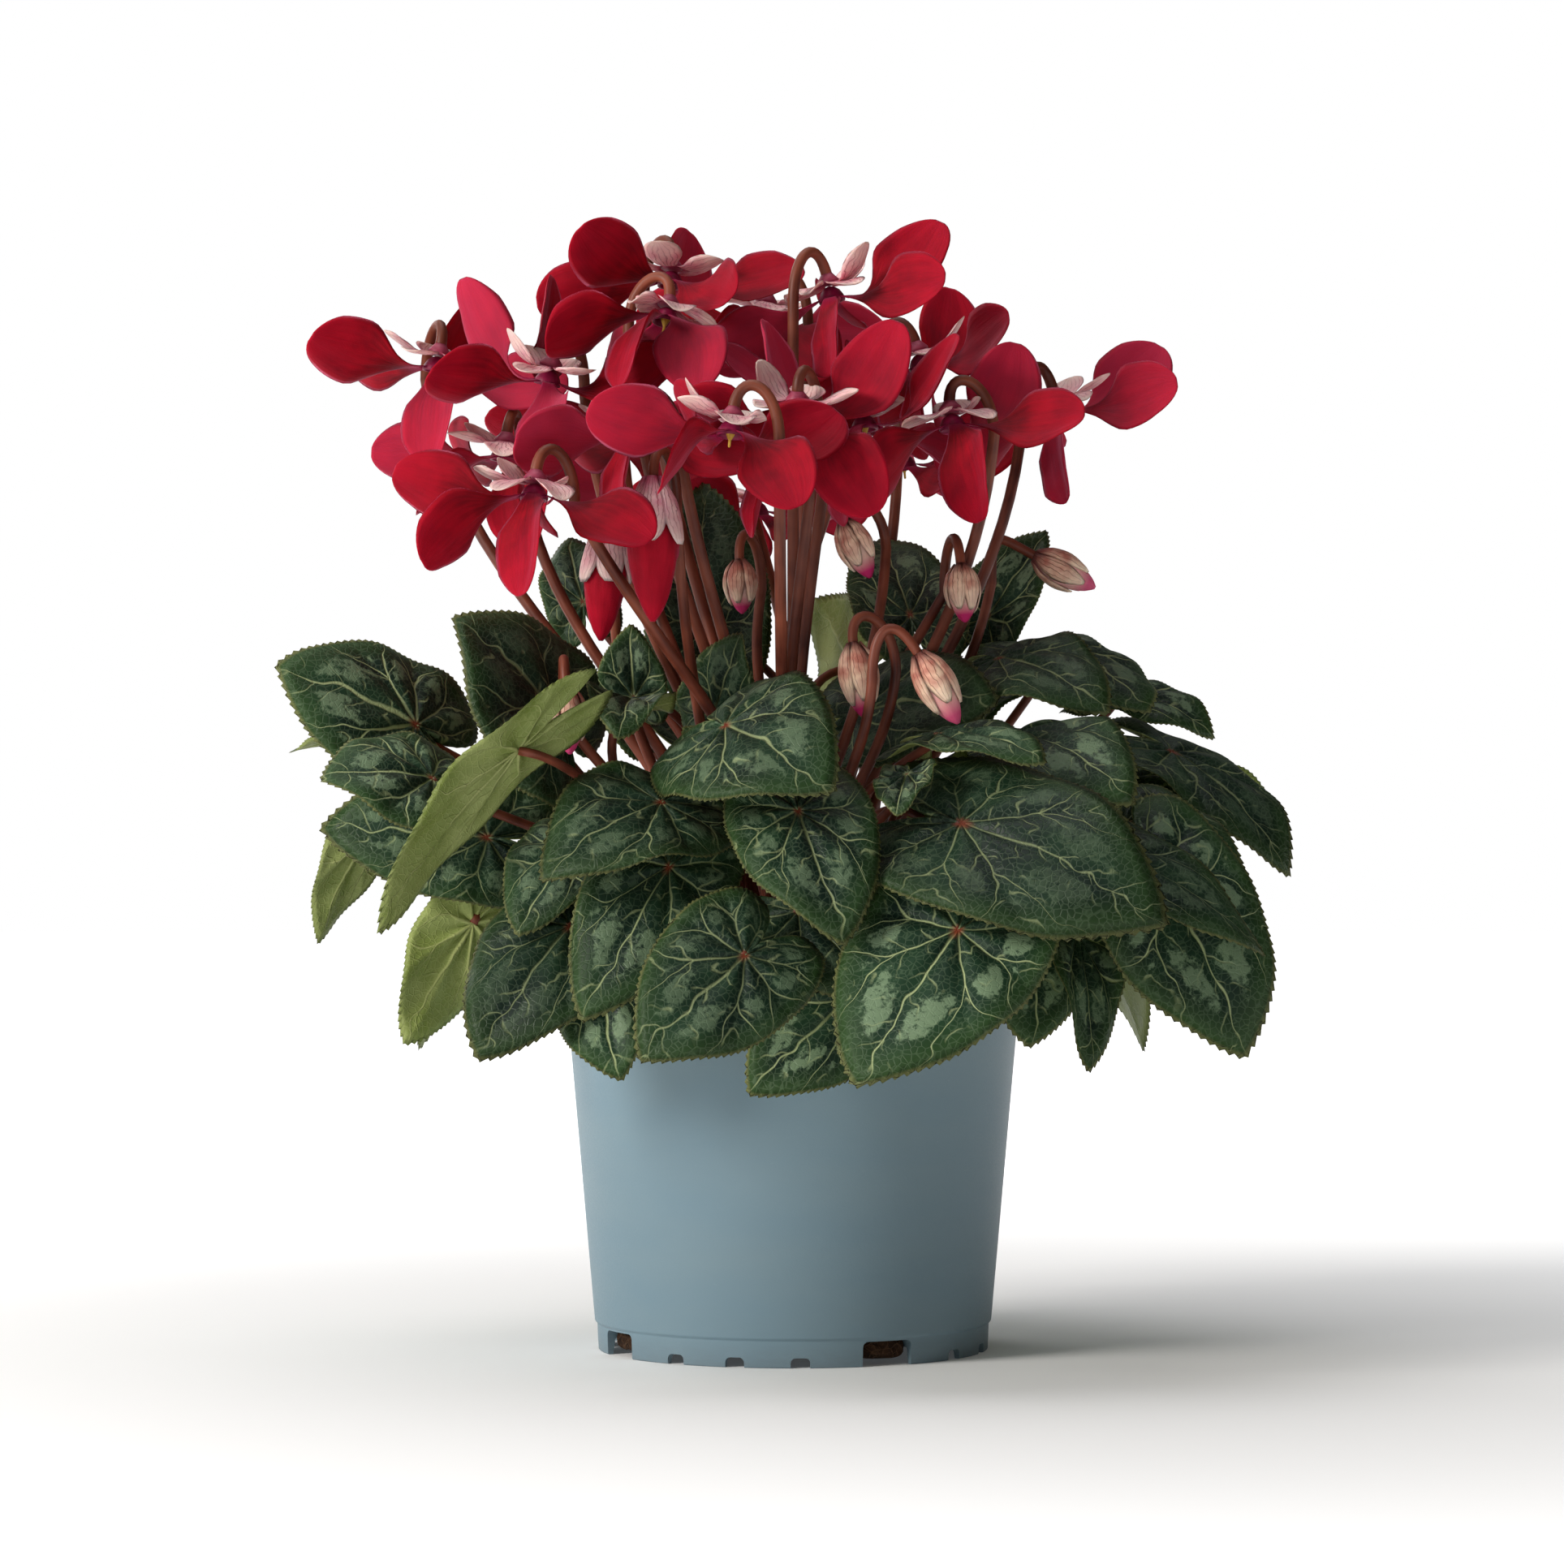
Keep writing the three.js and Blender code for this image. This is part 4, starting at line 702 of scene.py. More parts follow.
def addBud(mesh, bud, axes, chance):
    # the furled petals wind round each other towards the tip
    shape = budShape
    axis, hub = axes["axis"], axes["hub"]
    side = sideOf(axis)
    other = np.cross(axis, side)
    start = chance.uniform(0, 360)

    def around(height, turn, radius):
        a = math.radians(turn)
        return hub + axis * height + radius * (math.cos(a) * side + math.sin(a) * other)

    shares = np.linspace(0, 1, shape["rows"] + 1)
    turns = np.linspace(0, 360, shape["sides"] + 1)
    points = []
    for share in shares:
        for turn in turns:
            wound = (turn + start + shape["wind"] * share) % 72 / 72
            ridge = 1 + shape["furl"] * (wound - 0.5) * easeIn(share, 0.1, 0.4)
            points.append(around(share * bud["length"], turn, budRadius(bud, share) * ridge))
    points += [hub, hub + axis * bud["length"]]
    place = [(turn / 360, share) for share in shares for turn in turns] + [(0.5, 0), (0.5, 1)]
    addFaces(mesh, points, tubeFaces(len(shares), len(turns)), bud["petalMaterial"], place,
             (chance.random(), bud["open"]))
    alongs = np.linspace(0, 1, shape["sepalRows"] + 1)
    across = np.linspace(-1, 1, shape["sepalColumns"])[::-1]
    for k in range(shape["sepals"]):
        middle = 72 * k + start + chance.uniform(-6, 6)
        reach = bud["calyx"] * chance.uniform(0.9, 1.08)
        points = []
        for along in alongs:
            taper = math.sqrt(1 - (0.97 * along) ** 2.4) * (0.8 + 0.35 * min(1, along * 2))
            lift = shape["sepalLift"] + bud["flare"] * along * along + 0.25
            r = budRadius(bud, along * reach) * 1.06 + lift
            points += [around(along * reach * bud["length"] - 0.3, middle + v * bud["sepalWidth"] * taper,
                              r - 0.35 * v * v) for v in across]
        place = [(0.5 - v * 0.5, along) for along in alongs for v in across]
        grid = np.array(points).reshape(len(alongs), len(across), 3)
        addShell(mesh, grid, shape["thick"], bud["sepalMaterial"], place, (chance.random(), 0))


def placeBuds(names):
    for number, (hub, shaft, nod, length, girth) in enumerate(buds):
        node = names[number // 3]
        tree = treeOf(verticesOf([node])[0])
        middles = [bloomAxes(hub, nod)["axis"] * along * length for along, _ in budShape["solid"]]
        radii = [radius * girth for _, radius in budShape["solid"]]
        slide = bestOf(bothWays, lambda s: [bloomAxes(hub, nod, s)["hub"] + m for m in middles], radii, tree)
        axes = bloomAxes(hub, nod, slide)
        choices = [(root, bow) for bow in bows for root in rootsOf(node)]
        root, bow = bestOf(choices, lambda c: stemLine(c[0], axes, shaft, c[1], 4, 4)[2:-1],
                           petioleShape["radius"], tree)
        kind = furledBud if length > furledLength else closedBud
        yield node, axes, root, bow, shaft, {"length": length, "girth": girth, **kind}


def addFlowerBud(mesh, number, axes, root, bow, shaft, bud):
    chance = random.Random(seeds["bud"] + number)
    line = stemLine(root, axes, shaft, bow, stemShape["shaftSteps"], stemShape["hookSteps"])
    line = np.concatenate([line, [axes["hub"] + axes["axis"] * 0.8]])
    taper = np.linspace(1.25, 1.05, len(line)) * petioleShape["radius"]
    addTube(mesh, line, taper, stemShape["sides"], 0, chance.random())
    addBud(mesh, bud, axes, chance)


# materials

modes = {"Math": "operation", "VectorMath": "operation", "Mix": "data_type", "MapRange": "interpolation_type",
         "TexVoronoi": "feature", "UVMap": "uv_map"}


def outputOf(source):
    if isinstance(source, bpy.types.NodeSocket):
        return source
    return next(socket for socket in source.outputs if socket.enabled)


def setSockets(node, values):
    # by name or number: a node or socket is linked, text is a hex colour, and the rest is set as it is
    for key, value in values.items():
        socket = node.inputs[key]
        if isinstance(value, (bpy.types.Node, bpy.types.NodeSocket)):
            node.id_data.links.new(outputOf(value), socket)
        else:
            socket.default_value = linear(value) if isinstance(value, str) else value


def addNode(tree, kind, *values, **named):
    # the kind may be followed by its mode, and values go to the sockets in order, leaving out the hidden ones
    kind, _, mode = kind.partition(" ")
    node = tree.nodes.new("ShaderNode" + kind)
    if mode:
        setattr(node, modes[kind], mode)
    shown = [number for number, socket in enumerate(node.inputs) if socket.enabled]
    setSockets(node, {**dict(zip(shown, values)), **named})
    return node


def newMaterial(name, settings):
    # a principled surface, and the place in millimetres that its pattern is drawn from
    material = bpy.data.materials.new(name)
    material.use_nodes = True
    setSockets(material.node_tree.nodes["Principled BSDF"], settings)
    add = functools.partial(addNode, material.node_tree)
    return material, add, add("VectorMath SCALE", add("TexCoord").outputs["Object"], 1000)


def uvMaps(add):
    # place runs round and along a piece, and extra gives it a tone of its own
    return (add("SeparateXYZ", add("UVMap " + name)).outputs for name in ("place", "extra"))


def overlay(add, colour, *layers):
    # each layer's colour covers what is below it by its share
    for share, top in layers:
        colour = add("Mix RGBA", share, colour, top)
    return colour


def shaded(add, colour, tone, low, high):
    # the same material is a little darker or lighter from one leaf, petal or stalk to the next
    return add("HueSaturation", Value=add("MapRange", tone, 0, 1, low, high), Color=colour)


def finishSurface(material, colour, height, depth, roughness):
    # depth is the relief's real depth in millimetres
    shader = material.node_tree.nodes["Principled BSDF"]
    bump = addNode(material.node_tree, "Bump", Strength=1, Distance=depth / 1000, Height=height)
    setSockets(shader, {"Normal": bump, "Base Color": colour, "Roughness": roughness})
    return material


leafLook = {
    "dark": "#11221a", "fresh": "#1f3924", "margin": "#2f471d", "silver": "#788e6e", "vein": "#a3af7e",
    "edge": "#77784a", "joint": "#6e3320",
    "under": "#6b7a38", "underPale": "#949e62", "underVein": "#abb174",
    "sector": 20,                 # degrees from a main vein to the middle between it and the next
    "sway": 4.5,                  # degrees that a vein wanders
    "veinWidth": (0.54, 0.17),    # half widths in mm, at the stalk and at the margin
    "fork": (0.5, 17),            # the share where a main vein forks, and how far its arms part in degrees
    "sideStep": 3.6,              # half the spacing of the side veins in mm
    "band": 0.65,                 # where the silver marbling is strongest, as a share of the blade
    "patch": 3.6, "fleck": 1.3,   # sizes in mm of the marbling's spots
    "cells": 1.65,                # size of the quilted cells in mm
    "relief": 0.22,
}


def leafMaterial(name, upper):
    # a living leaf under a film of wax: a soft, slightly cloudy shine, with sunk pale veins and marbling
    # above and raised veins on a plain olive green below
    look = leafLook
    material, add, mm = newMaterial(name, {"IOR": 1.45, "Specular IOR Level": 0.22})
    place, extra = uvMaps(add)
    share, tone = place[1], extra[1]
    swing = add("MapRange", add("TexNoise", mm, 1 / 9, 1), 0, 1, -2 * look["sway"], 2 * look["sway"])
    turn = add("Math MULTIPLY_ADD", place[0], 360, swing)
    off = add("Math PINGPONG", turn, look["sector"])
    aside = add("Math ABSOLUTE", turn)
    notMidrib = add("Math GREATER_THAN", aside, look["sector"])
    parting = add("MapRange", share, look["fork"][0], 1, 0, look["fork"][1])
    fromArm = add("Math SUBTRACT", off, add("Math MULTIPLY", parting, notMidrib))
    fromVein = add("Math ABSOLUTE", fromArm)
    arc = add("Math MULTIPLY", extra[0], 100 * math.radians(1))  # a degree's length in mm
    away = add("Math MULTIPLY", fromVein, arc)
    width = add("MapRange", share, 0, 1, *look["veinWidth"])
    slimmer = add("Math MULTIPLY_ADD", notMidrib, -0.35, 1.2)
    widths = add("Math DIVIDE", away, add("Math MULTIPLY", width, slimmer))
    backwards = add("MapRange", aside, 60, 150, 1, 0.6)
    outer = add("MapRange", share, 0.8, 0.99, 1, 0.25)
    veinEdge = add("MapRange SMOOTHSTEP", widths, 0.35, 1.5, 1, 0)
    vein = add("Math MULTIPLY", veinEdge, add("Math MULTIPLY", backwards, outer))
    # side veins slant outwards from the main ones
    slant = add("Math MULTIPLY", off, arc)
    outwards = add("Math MULTIPLY", extra[0], 100)
    wander = add("TexNoise", mm, 1 / 5, 1)
    stagger = add("Math MULTIPLY_ADD", slant, -0.9, outwards)
    along = add("Math ADD", stagger, add("MapRange", wander, 0, 1, -3, 3))
    sideLine = add("MapRange SMOOTHSTEP", add("Math PINGPONG", along, look["sideStep"]), 0.1, 0.55, 1, 0)
    sideSome = add("Math MULTIPLY", sideLine, add("MapRange", slant, 4, 9, 1, 0))
    sideVein = add("Math MULTIPLY", sideSome, add("MapRange", wander, 0.42, 0.56))
    # fine net of veinlets round the leaf's quilted cells
    netLine = add("MapRange", add("TexVoronoi DISTANCE_TO_EDGE", mm, 1 / look["cells"]), 0, 0.12, 1, 0)
    mottle = add("TexNoise", mm, 1 / 14, 3)
    if upper:
        # the marbling is drawn out from the stalk towards the margin
        fromBand = add("Math ABSOLUTE", add("Math SUBTRACT", share, look["band"]))
        band = add("MapRange SMOOTHSTEP", fromBand, 0.05, 0.27, 1, 0)
        marbled = add("Math MULTIPLY", band, add("MapRange SMOOTHSTEP", fromVein, 2, 9))
        fan = add("CombineXYZ", turn, outwards, tone)
        drawn = add("VectorMath MULTIPLY", fan, (1 / 9, 1 / look["patch"], 40))
        ragged = add("MapRange", add("TexNoise", drawn, 1, 5, 0.66), 0, 1, -1.15, 1)
        flecked = add("MapRange", add("TexNoise", mm, 1 / look["fleck"], 3, 0.6), 0, 1, -0.62, 0.62)
        silverPlace = add("Math ADD", marbled, add("Math ADD", ragged, flecked))
        silverEdge = add("MapRange SMOOTHSTEP", silverPlace, 0.5, 0.95)
        colour = overlay(
            add, look["dark"],
            (add("MapRange", mottle, 0.35, 0.7), look["fresh"]),
            (add("MapRange", share, 0.72, 1, 0, 0.75), look["margin"]),
            (add("Math MULTIPLY", silverEdge, add("MapRange", tone, 0, 1, 0.14, 0.68)), look["silver"]),
            (add("Math MULTIPLY", netLine, 0.16), look["silver"]),
            (add("Math MULTIPLY", sideVein, 0.42), look["vein"]),
            (add("Math MULTIPLY", vein, add("MapRange", tone, 0, 1, 0.45, 0.85)), look["vein"]),
            (add("MapRange SMOOTHSTEP", share, 0.02, 0.09, 1, 0), look["joint"]),
            (add("MapRange", share, 0.972, 1, 0, 0.7), look["edge"]))
    else:
        colour = overlay(
            add, look["under"],
            (add("MapRange", mottle, 0.3, 0.7), look["underPale"]),
            (add("Math MULTIPLY", vein, 0.6), look["underVein"]),
            (add("Math MULTIPLY", netLine, 0.2), look["underVein"]))
    # the veins are sunk above and stand out below, and the cells between them are cushions
    relief = add("Math MULTIPLY_ADD", netLine, 0.3, add("Math MULTIPLY_ADD", sideVein, 0.6, vein))
    height = add("Math MULTIPLY", relief, -1 if upper else 1)
    cloudy = add("MapRange", mottle, 0.3, 0.7, 0.4, 0.58)
    return finishSurface(material, shaded(add, colour, tone, 0.82, 1.22), height, look["relief"], cloudy)


def stalkMaterial(name, look):
    # a juicy stalk under a thin waxy skin: reddish brown, with fine lengthwise lines and darker specks
    material, add, mm = newMaterial(name, {"IOR": 1.42, "Specular IOR Level": 0.4,
                                           "Subsurface Weight": 0.05, "Subsurface Scale": 0.002})
    place, extra = uvMaps(add)
    moved = add("CombineXYZ", 0, add("Math MULTIPLY", place[1], 100 / look["streak"]))
    around = add("CombineXYZ", place[0], 0, extra[0])
    drawn = add("VectorMath MULTIPLY_ADD", around, (look["lines"], 1, 40), moved)
    streaks = add("TexNoise", drawn, 1, 3)
    both = add("Math MULTIPLY_ADD", streaks, 0.5, add("TexNoise", mm, 1 / look["blotch"], 2))
    colour = overlay(add, look["dark"], (add("MapRange", both, 0.5, 1), look["light"]))
    gloss = add("MapRange", streaks, 0, 1, 0.36, 0.56)
    return finishSurface(material, shaded(add, colour, extra[0], 0.85, 1.18), streaks, look["relief"], gloss)


petalLook = {
    # on open petals deep is partly a painted shade tone and the tip tint a painted glow of light through the
    # petal: darker and lighter copies of the crimson
    "deep": "#4c0008", "crimson": "#980418", "lit": "#b90c2c", "root": "#960f42",
    "mauve": ("#a82e4c", 0.65),  # the colour that some petals are tinted to, and how far: partly the paler outer face's own colour, partly a painted sheen
    "across": 18, "length": 36,  # the petal's real width and length in mm
    "streak": (0.9, 11),         # width and length of its lines in mm
    "tip": (0.3, 1, 0.6),        # where its tip colour starts, is full, and how much of it there is; on open and furled petals a painted glow of light shining through, on closed buds their own magenta tip
    "sheen": 0.4, "relief": 0.12,
}


def petalMaterial(name, look):
    # velvety petal tissue: no shine of its own, a mauve bloom on what turns away, and fine lines along it; on
    # open and furled petals the colour also carries painted light: a deep painted shade tone in patches, a
    # painted glow towards the tip, and on some petals a mauve tint that is partly painted sheen
    material, add, mm = newMaterial(name, {
        "IOR": 1.38, "Specular IOR Level": 0.16, "Sheen Weight": look["sheen"], "Sheen Roughness": 0.34,
        "Sheen Tint": "#f286aa", "Subsurface Weight": 0.12, "Subsurface Scale": 0.0025})
    place, extra = uvMaps(add)
    size = (look["across"] / look["streak"][0], look["length"] / look["streak"][1], 30)
    lines = add("VectorMath MULTIPLY", add("CombineXYZ", place[0], place[1], extra[0]), size)
    streaks = add("TexNoise", lines, 1, 2.5, Distortion=0.3)
    both = add("Math MULTIPLY_ADD", streaks, 0.55, add("TexNoise", mm, 1 / 8, 2))
    low, high, most = look["tip"]
    mauve, mauveShare = look["mauve"]
    colour = overlay(
        # painted shade: the deep tone shows in patches where the streaks and noise are low, partly the
        # petal's own darker lines, partly painted shade
        add, look["deep"],
        (add("MapRange", both, 0.55, 1), look["crimson"]),
        # painted light: the outer part of each open petal is brighter, as if lit through; on closed buds this
        # is their own magenta tip
        (add("MapRange", place[1], low, high, 0, most), look["lit"]),
        # some whole petals are tinted mauve at random: partly the outer face's own colour, partly a painted
        # sheen of light
        (add("MapRange", extra[0], 0.4, 1, 0, mauveShare), mauve),
        (add("MapRange SMOOTHSTEP", place[1], 0.02, 0.3, 0.85, 0), look["root"]))
    down = add("TexNoise", mm, 1 / 0.35, 1)  # the velvet's tiny cells
    height = add("Math MULTIPLY_ADD", down, 0.35, streaks)
    rough = add("MapRange", down, 0, 1, 0.62, 0.8)
    return finishSurface(material, shaded(add, colour, extra[0], 0.85, 1.15), height, look["relief"], rough)


sepalLook = {
    "pale": "#efc4c3", "blush": "#d98c9a", "line": "#964a55", "root": "#a52e56", "tip": "#f3dccf",
    "lines": 7,  # veins along the sepal
    "relief": 0.08,
}


def sepalMaterial(name, look):
    # a thin pale calyx leaf, satin, with branching red-brown veins and a magenta foot
    material, add, mm = newMaterial(name, {"IOR": 1.4, "Specular IOR Level": 0.35,
                                           "Subsurface Weight": 0.15, "Subsurface Scale": 0.002})
    place, extra = uvMaps(add)
    wander = add("TexNoise", mm, 1 / 2.5, 2)
    across = add("Math ADD", place[0], add("MapRange", wander, 0, 1, -0.12, 0.12))
    step = add("Math PINGPONG", across, 0.5 / look["lines"])
    line = add("MapRange SMOOTHSTEP", step, 0.004, 0.024, 1, 0)
    colour = overlay(
        add, look["pale"],
        (add("MapRange", add("TexNoise", mm, 1 / 4, 2), 0.35, 0.65), look["blush"]),
        (add("MapRange", place[1], 0.5, 1, 0, 0.7), look["tip"]),
        (add("Math MULTIPLY", line, add("MapRange", place[1], 0.35, 1, 0.75, 0.08)), look["line"]),
        (add("MapRange SMOOTHSTEP", place[1], 0.02, 0.26, 0.9, 0), look["root"]))
    rough = add("MapRange", wander, 0, 1, 0.42, 0.62)
    return finishSurface(material, shaded(add, colour, extra[0], 0.88, 1.1), line, look["relief"], rough)


def moundedMaterial(name, look):
    # loose or corky ground: crumbs and fibres in two browns, dull all over
    material, add, mm = newMaterial(name, {"IOR": 1.4, "Specular IOR Level": 0.2})
    crumbs = add("TexNoise", mm, 1 / look["crumb"], 6, 0.7)
    fibre = add("MapRange", add("TexVoronoi DISTANCE_TO_EDGE", mm, 1 / look["fibre"]), 0, 0.1, 1, 0)
    colour = overlay(add, look["dark"], (add("MapRange", crumbs, 0.35, 0.68), look["light"]),
                     (add("Math MULTIPLY", fibre, 0.4), look["thread"]))
    height = add("Math MULTIPLY_ADD", fibre, 0.3, crumbs)
    return finishSurface(material, colour, height, look["relief"], add("MapRange", crumbs, 0, 1, 0.8, 1))


def potMaterial(name, look):
    # injection moulded polypropylene: even blue-grey, an eggshell finish from the mould's fine spark-eroded
    # skin, faint flow marks, a few pale scuffs and dust of the soil on the foot
    material, add, mm = newMaterial(name, {"IOR": 1.49, "Specular IOR Level": 0.5})
    grain = add("TexNoise", mm, 1 / look["grain"], 2)
    flow = add("TexNoise", add("VectorMath MULTIPLY", mm, (1 / 40, 1 / 40, 1 / 14)), 1, 3)
    scratch = add("TexNoise", add("VectorMath MULTIPLY", mm, (1 / 5, 1 / 5, 1 / 1.1)), 1, 4, 0.7)
    low = add("MapRange", add("SeparateXYZ", mm).outputs[2], 0, look["dusty"], 0.4, 0)
    colour = overlay(add, look["cool"], (add("MapRange", flow, 0.15, 0.85), look["grey"]),
                     (add("MapRange", scratch, 0.7, 0.78, 0, 0.35), look["scuff"]),
                     (add("Math MULTIPLY", low, scratch), look["dust"]))
    rough = add("MapRange", grain, 0.3, 0.7, 0.42, 0.55)
    return finishSurface(material, colour, grain, look["relief"], rough)


# pot, soil and tuber

potLook = {
    "cool": "#6d8896", "grey": "#768d97", "scuff": "#9fb0b8", "dust": "#5a4a3e",
    "grain": 0.45, "relief": 0.02, "dusty": 7,  # mm
}
potShape = {
    # distance from the axis, height and the radius of the rounded corner
    "profile": [(0, 4.2, 0), (48.9, 4.2, 0.5), (49.5, 0, 0.3), (51, 0, 0.4), (51.25, 6.9, 0.3),
                (51.9, 7.5, 0.35), (58.8, 86, 0.4), (59.85, 86.7, 0.4), (60, 103.4, 0.5), (58.5, 104, 0.5),
                (57.3, 84, 3), (50.4, 8.7, 2), (47.4, 5.7, 1.5), (0, 5.7, 0)],
    "round": 4, "spokes": 180, "crease": 50,
    "notch": {"first": -62, "aside": (0,), "width": 14, "height": 6.4, "inner": 42},
    "slit": {"first": -107, "aside": (-19, 0, 19), "width": 5, "height": 2.6, "inner": 46},
    "outer": 55, "corner": 1.4, "below": -3,
}


def roundedProfile(corners, steps):
    # each corner becomes a short curve that starts and ends its radius away
    line = [np.array(corners[0][:2], float)]
    for before, here, after in zip(corners, corners[1:], corners[2:]):
        p, a, b = (np.array(c[:2], float) for c in (here, before, after))
        start, end = (p + unit(q - p) * min(here[2], np.linalg.norm(q - p) / 2) for q in (a, b))
        for t in np.linspace(0, 1, steps):
            line.append(start * (1 - t) ** 2 + p * 2 * t * (1 - t) + end * t * t)
    line.append(np.array(corners[-1][:2], float))
    return line


def turnedMesh(line, spokes):
    # a mesh of its own, turned about the pot's axis from (radius, height)
    mesh = newMesh()
    addTurned(mesh, np.zeros(3), upward, [(z, r) for r, z in line], spokes, 0, 0.5, np.array([1.0, 0, 0]))
    return mesh


def addCutter(bm, cut, azimuth):
    # a block with rounded upper corners, pointing outwards
    half, tall, corner = cut["width"] / 2, cut["height"], min(potShape["corner"], cut["height"] / 2)
    arch = [(-half, potShape["below"])]
    for side, start in ((-1, 180), (1, 90)):
        for k in range(5):
            a = math.radians(start - 22.5 * k)
            arch.append((side * (half - corner) + corner * math.cos(a), tall - corner + corner * math.sin(a)))
    arch.append((half, potShape["below"]))
    out, across = heading(azimuth), heading(azimuth + 90)
    rings = [[bm.verts.new(((out * r + across * s + upward * z) + shift) / 1000) for s, z in arch]
             for r in (cut["inner"], potShape["outer"])]
    for k in range(len(arch)):
        n = (k + 1) % len(arch)
        bm.faces.new((rings[0][k], rings[0][n], rings[1][n], rings[1][k]))
    bm.faces.new(rings[0][::-1])
    bm.faces.new(rings[1])


def buildPot():
    mesh = turnedMesh(roundedProfile(potShape["profile"], potShape["round"]), potShape["spokes"])
    material = potMaterial("Blue-grey moulded polypropylene", potLook)
    piece = finishPiece(mesh, "potShell", [material], ["pot"])
    blocks = bmesh.new()
    for cut in (potShape["notch"], potShape["slit"]):
        for quarter in range(4):
            for aside in cut["aside"]:
                addCutter(blocks, cut, cut["first"] + 90 * quarter + aside)
    bmesh.ops.recalc_face_normals(blocks, faces=blocks.faces)
    cutters = addObject("cutters", bpy.data.meshes.new("cutters"))
    blocks.to_mesh(cutters.data)
    blocks.free()
    trim = piece.modifiers.new("notches", "BOOLEAN")
    trim.object, trim.operation, trim.solver = cutters, "DIFFERENCE", "EXACT"
    piece.data = bpy.data.meshes.new_from_object(piece.evaluated_get(bpy.context.evaluated_depsgraph_get()))
    piece.modifiers.clear()
    bpy.data.objects.remove(cutters)
    trimmed = bmesh.new()
    trimmed.from_mesh(piece.data)
    for face in trimmed.faces:
        face.smooth = True
    for edge in trimmed.edges:
        edge.smooth = edge.calc_face_angle(0) < math.radians(potShape["crease"])
    trimmed.to_mesh(piece.data)
    trimmed.free()
    print("pot", len(piece.data.polygons), "faces")


soilLook = {"dark": "#21150e", "light": "#4a3323", "thread": "#6b4f38", "crumb": 3.2, "fibre": 2.4,
            "relief": 1}
soilShape = {
    "profile": [(0, 6), (47.1, 6), (50.1, 9), (57, 84), (57.5, 90.5), (53.5, 92), (46, 92.3), (38, 93.1),
                (31, 93.5), (25.3, 91), (21.3, 78), (13, 73.7), (0, 73.7)],
    "step": 1.6, "spokes": 150, "lump": 0.7, "lumpSize": 5,
    "top": (86, 92), "wall": (53, 57), "tuber": (26, 30),  # where the lumps begin and end
    # the peat in each wide notch: its middle and half size outwards, sideways and upwards
    "plug": ((45.9, 3.4), (0, 6.6), (4.3, 2.7)), "plugLump": 0.5, "plugLumpSize": 2.2, "rings": 12,
    "columns": 24,
}


def lumps(x, y, z, size, seed):
    return noise.fractal(((x + seed) / size, y / size, z / size), 0.9, 2.1, 4)


def softBox(x):
    # rounds a sphere's coordinate out towards a box
    return math.copysign(abs(x) ** 0.55, x)


def evenLine(corners, step):
    # the same line with a point about every step
    line = []
    for (r0, z0), (r1, z1) in zip(corners, corners[1:]):
        count = max(1, round(math.hypot(r1 - r0, z1 - z0) / step))
        line += [(r0 + (r1 - r0) * k / count, z0 + (z1 - z0) * k / count) for k in range(count)]
    return line + [corners[-1]]


def addPlug(mesh, azimuth):
    # the peat that stands in one of the foot's wide notches
    shape = soilShape
    rings, columns = shape["rings"], shape["columns"]
    out, across = heading(azimuth), heading(azimuth + 90)
    points = []
    for i in range(rings + 1):
        bend = math.pi * i / rings
        for k in range(columns + 1):
            turn = 2 * math.pi * k / columns
            ring = softBox(math.sin(bend))
            box = softBox(math.cos(bend)), ring * softBox(math.cos(turn)), ring * softBox(math.sin(turn))
            r, s, z = (middle + half * b for (middle, half), b in zip(shape["plug"], box))
            p = out * r + across * s + upward * z
            points.append(p + (out + upward) * shape["plugLump"] * lumps(*p, shape["plugLumpSize"], 9))
    addFaces(mesh, points, gridFaces(rings + 1, columns + 1, True), 0, [(0, 0)] * len(points), (0.5, 0))


def buildSoil():
    shape = soilShape
    mesh = turnedMesh(evenLine(shape["profile"], shape["step"]), shape["spokes"])
    for point in mesh["points"]:
        # lumpy on top only, so that the soil keeps clear of the pot's wall and the tuber
        r = math.hypot(*point[:2])
        free = easeIn(point[2], *shape["top"]) * (1 - easeIn(r, *shape["wall"])) * easeIn(r, *shape["tuber"])
        point[2] += shape["lump"] * free * 2 * lumps(*point, shape["lumpSize"], 3)
    for quarter in range(4):
        addPlug(mesh, potShape["notch"]["first"] + 90 * quarter)
    finishPiece(mesh, "soilFill", [moundedMaterial("Moist peat potting mix", soilLook)], ["soil"])
    print("soil", len(mesh["faces"]), "faces")


tuberLook = {"dark": "#3a291c", "light": "#6d5540", "thread": "#8a7157", "crumb": 2.2, "fibre": 3.5,
             "relief": 0.6}
tuberShape = {
    "profile": [(0, 74), (13, 74), (21, 78), (24.6, 85), (24.9, 91), (24.2, 94.6), (21.8, 96.7), (14, 97),
                (0, 97)],
    "step": 1.3, "spokes": 96, "bump": 0.014, "bumpSize": 6, "level": 96.5,
}


def buildTuber():
    shape = tuberShape
    mesh = turnedMesh(evenLine(shape["profile"], shape["step"]), shape["spokes"])
    for point in mesh["points"]:
        if point[2] < shape["level"]:
            sunk = 1 - shape["bump"] * (1 + lumps(*point, shape["bumpSize"], 20))
            point[:2] = point[0] * sunk, point[1] * sunk
    finishPiece(mesh, "tuberBody", [moundedMaterial("Corky tuber skin", tuberLook)], ["tuber"])
    print("tuber", len(mesh["faces"]), "faces")


# the plant's finishes

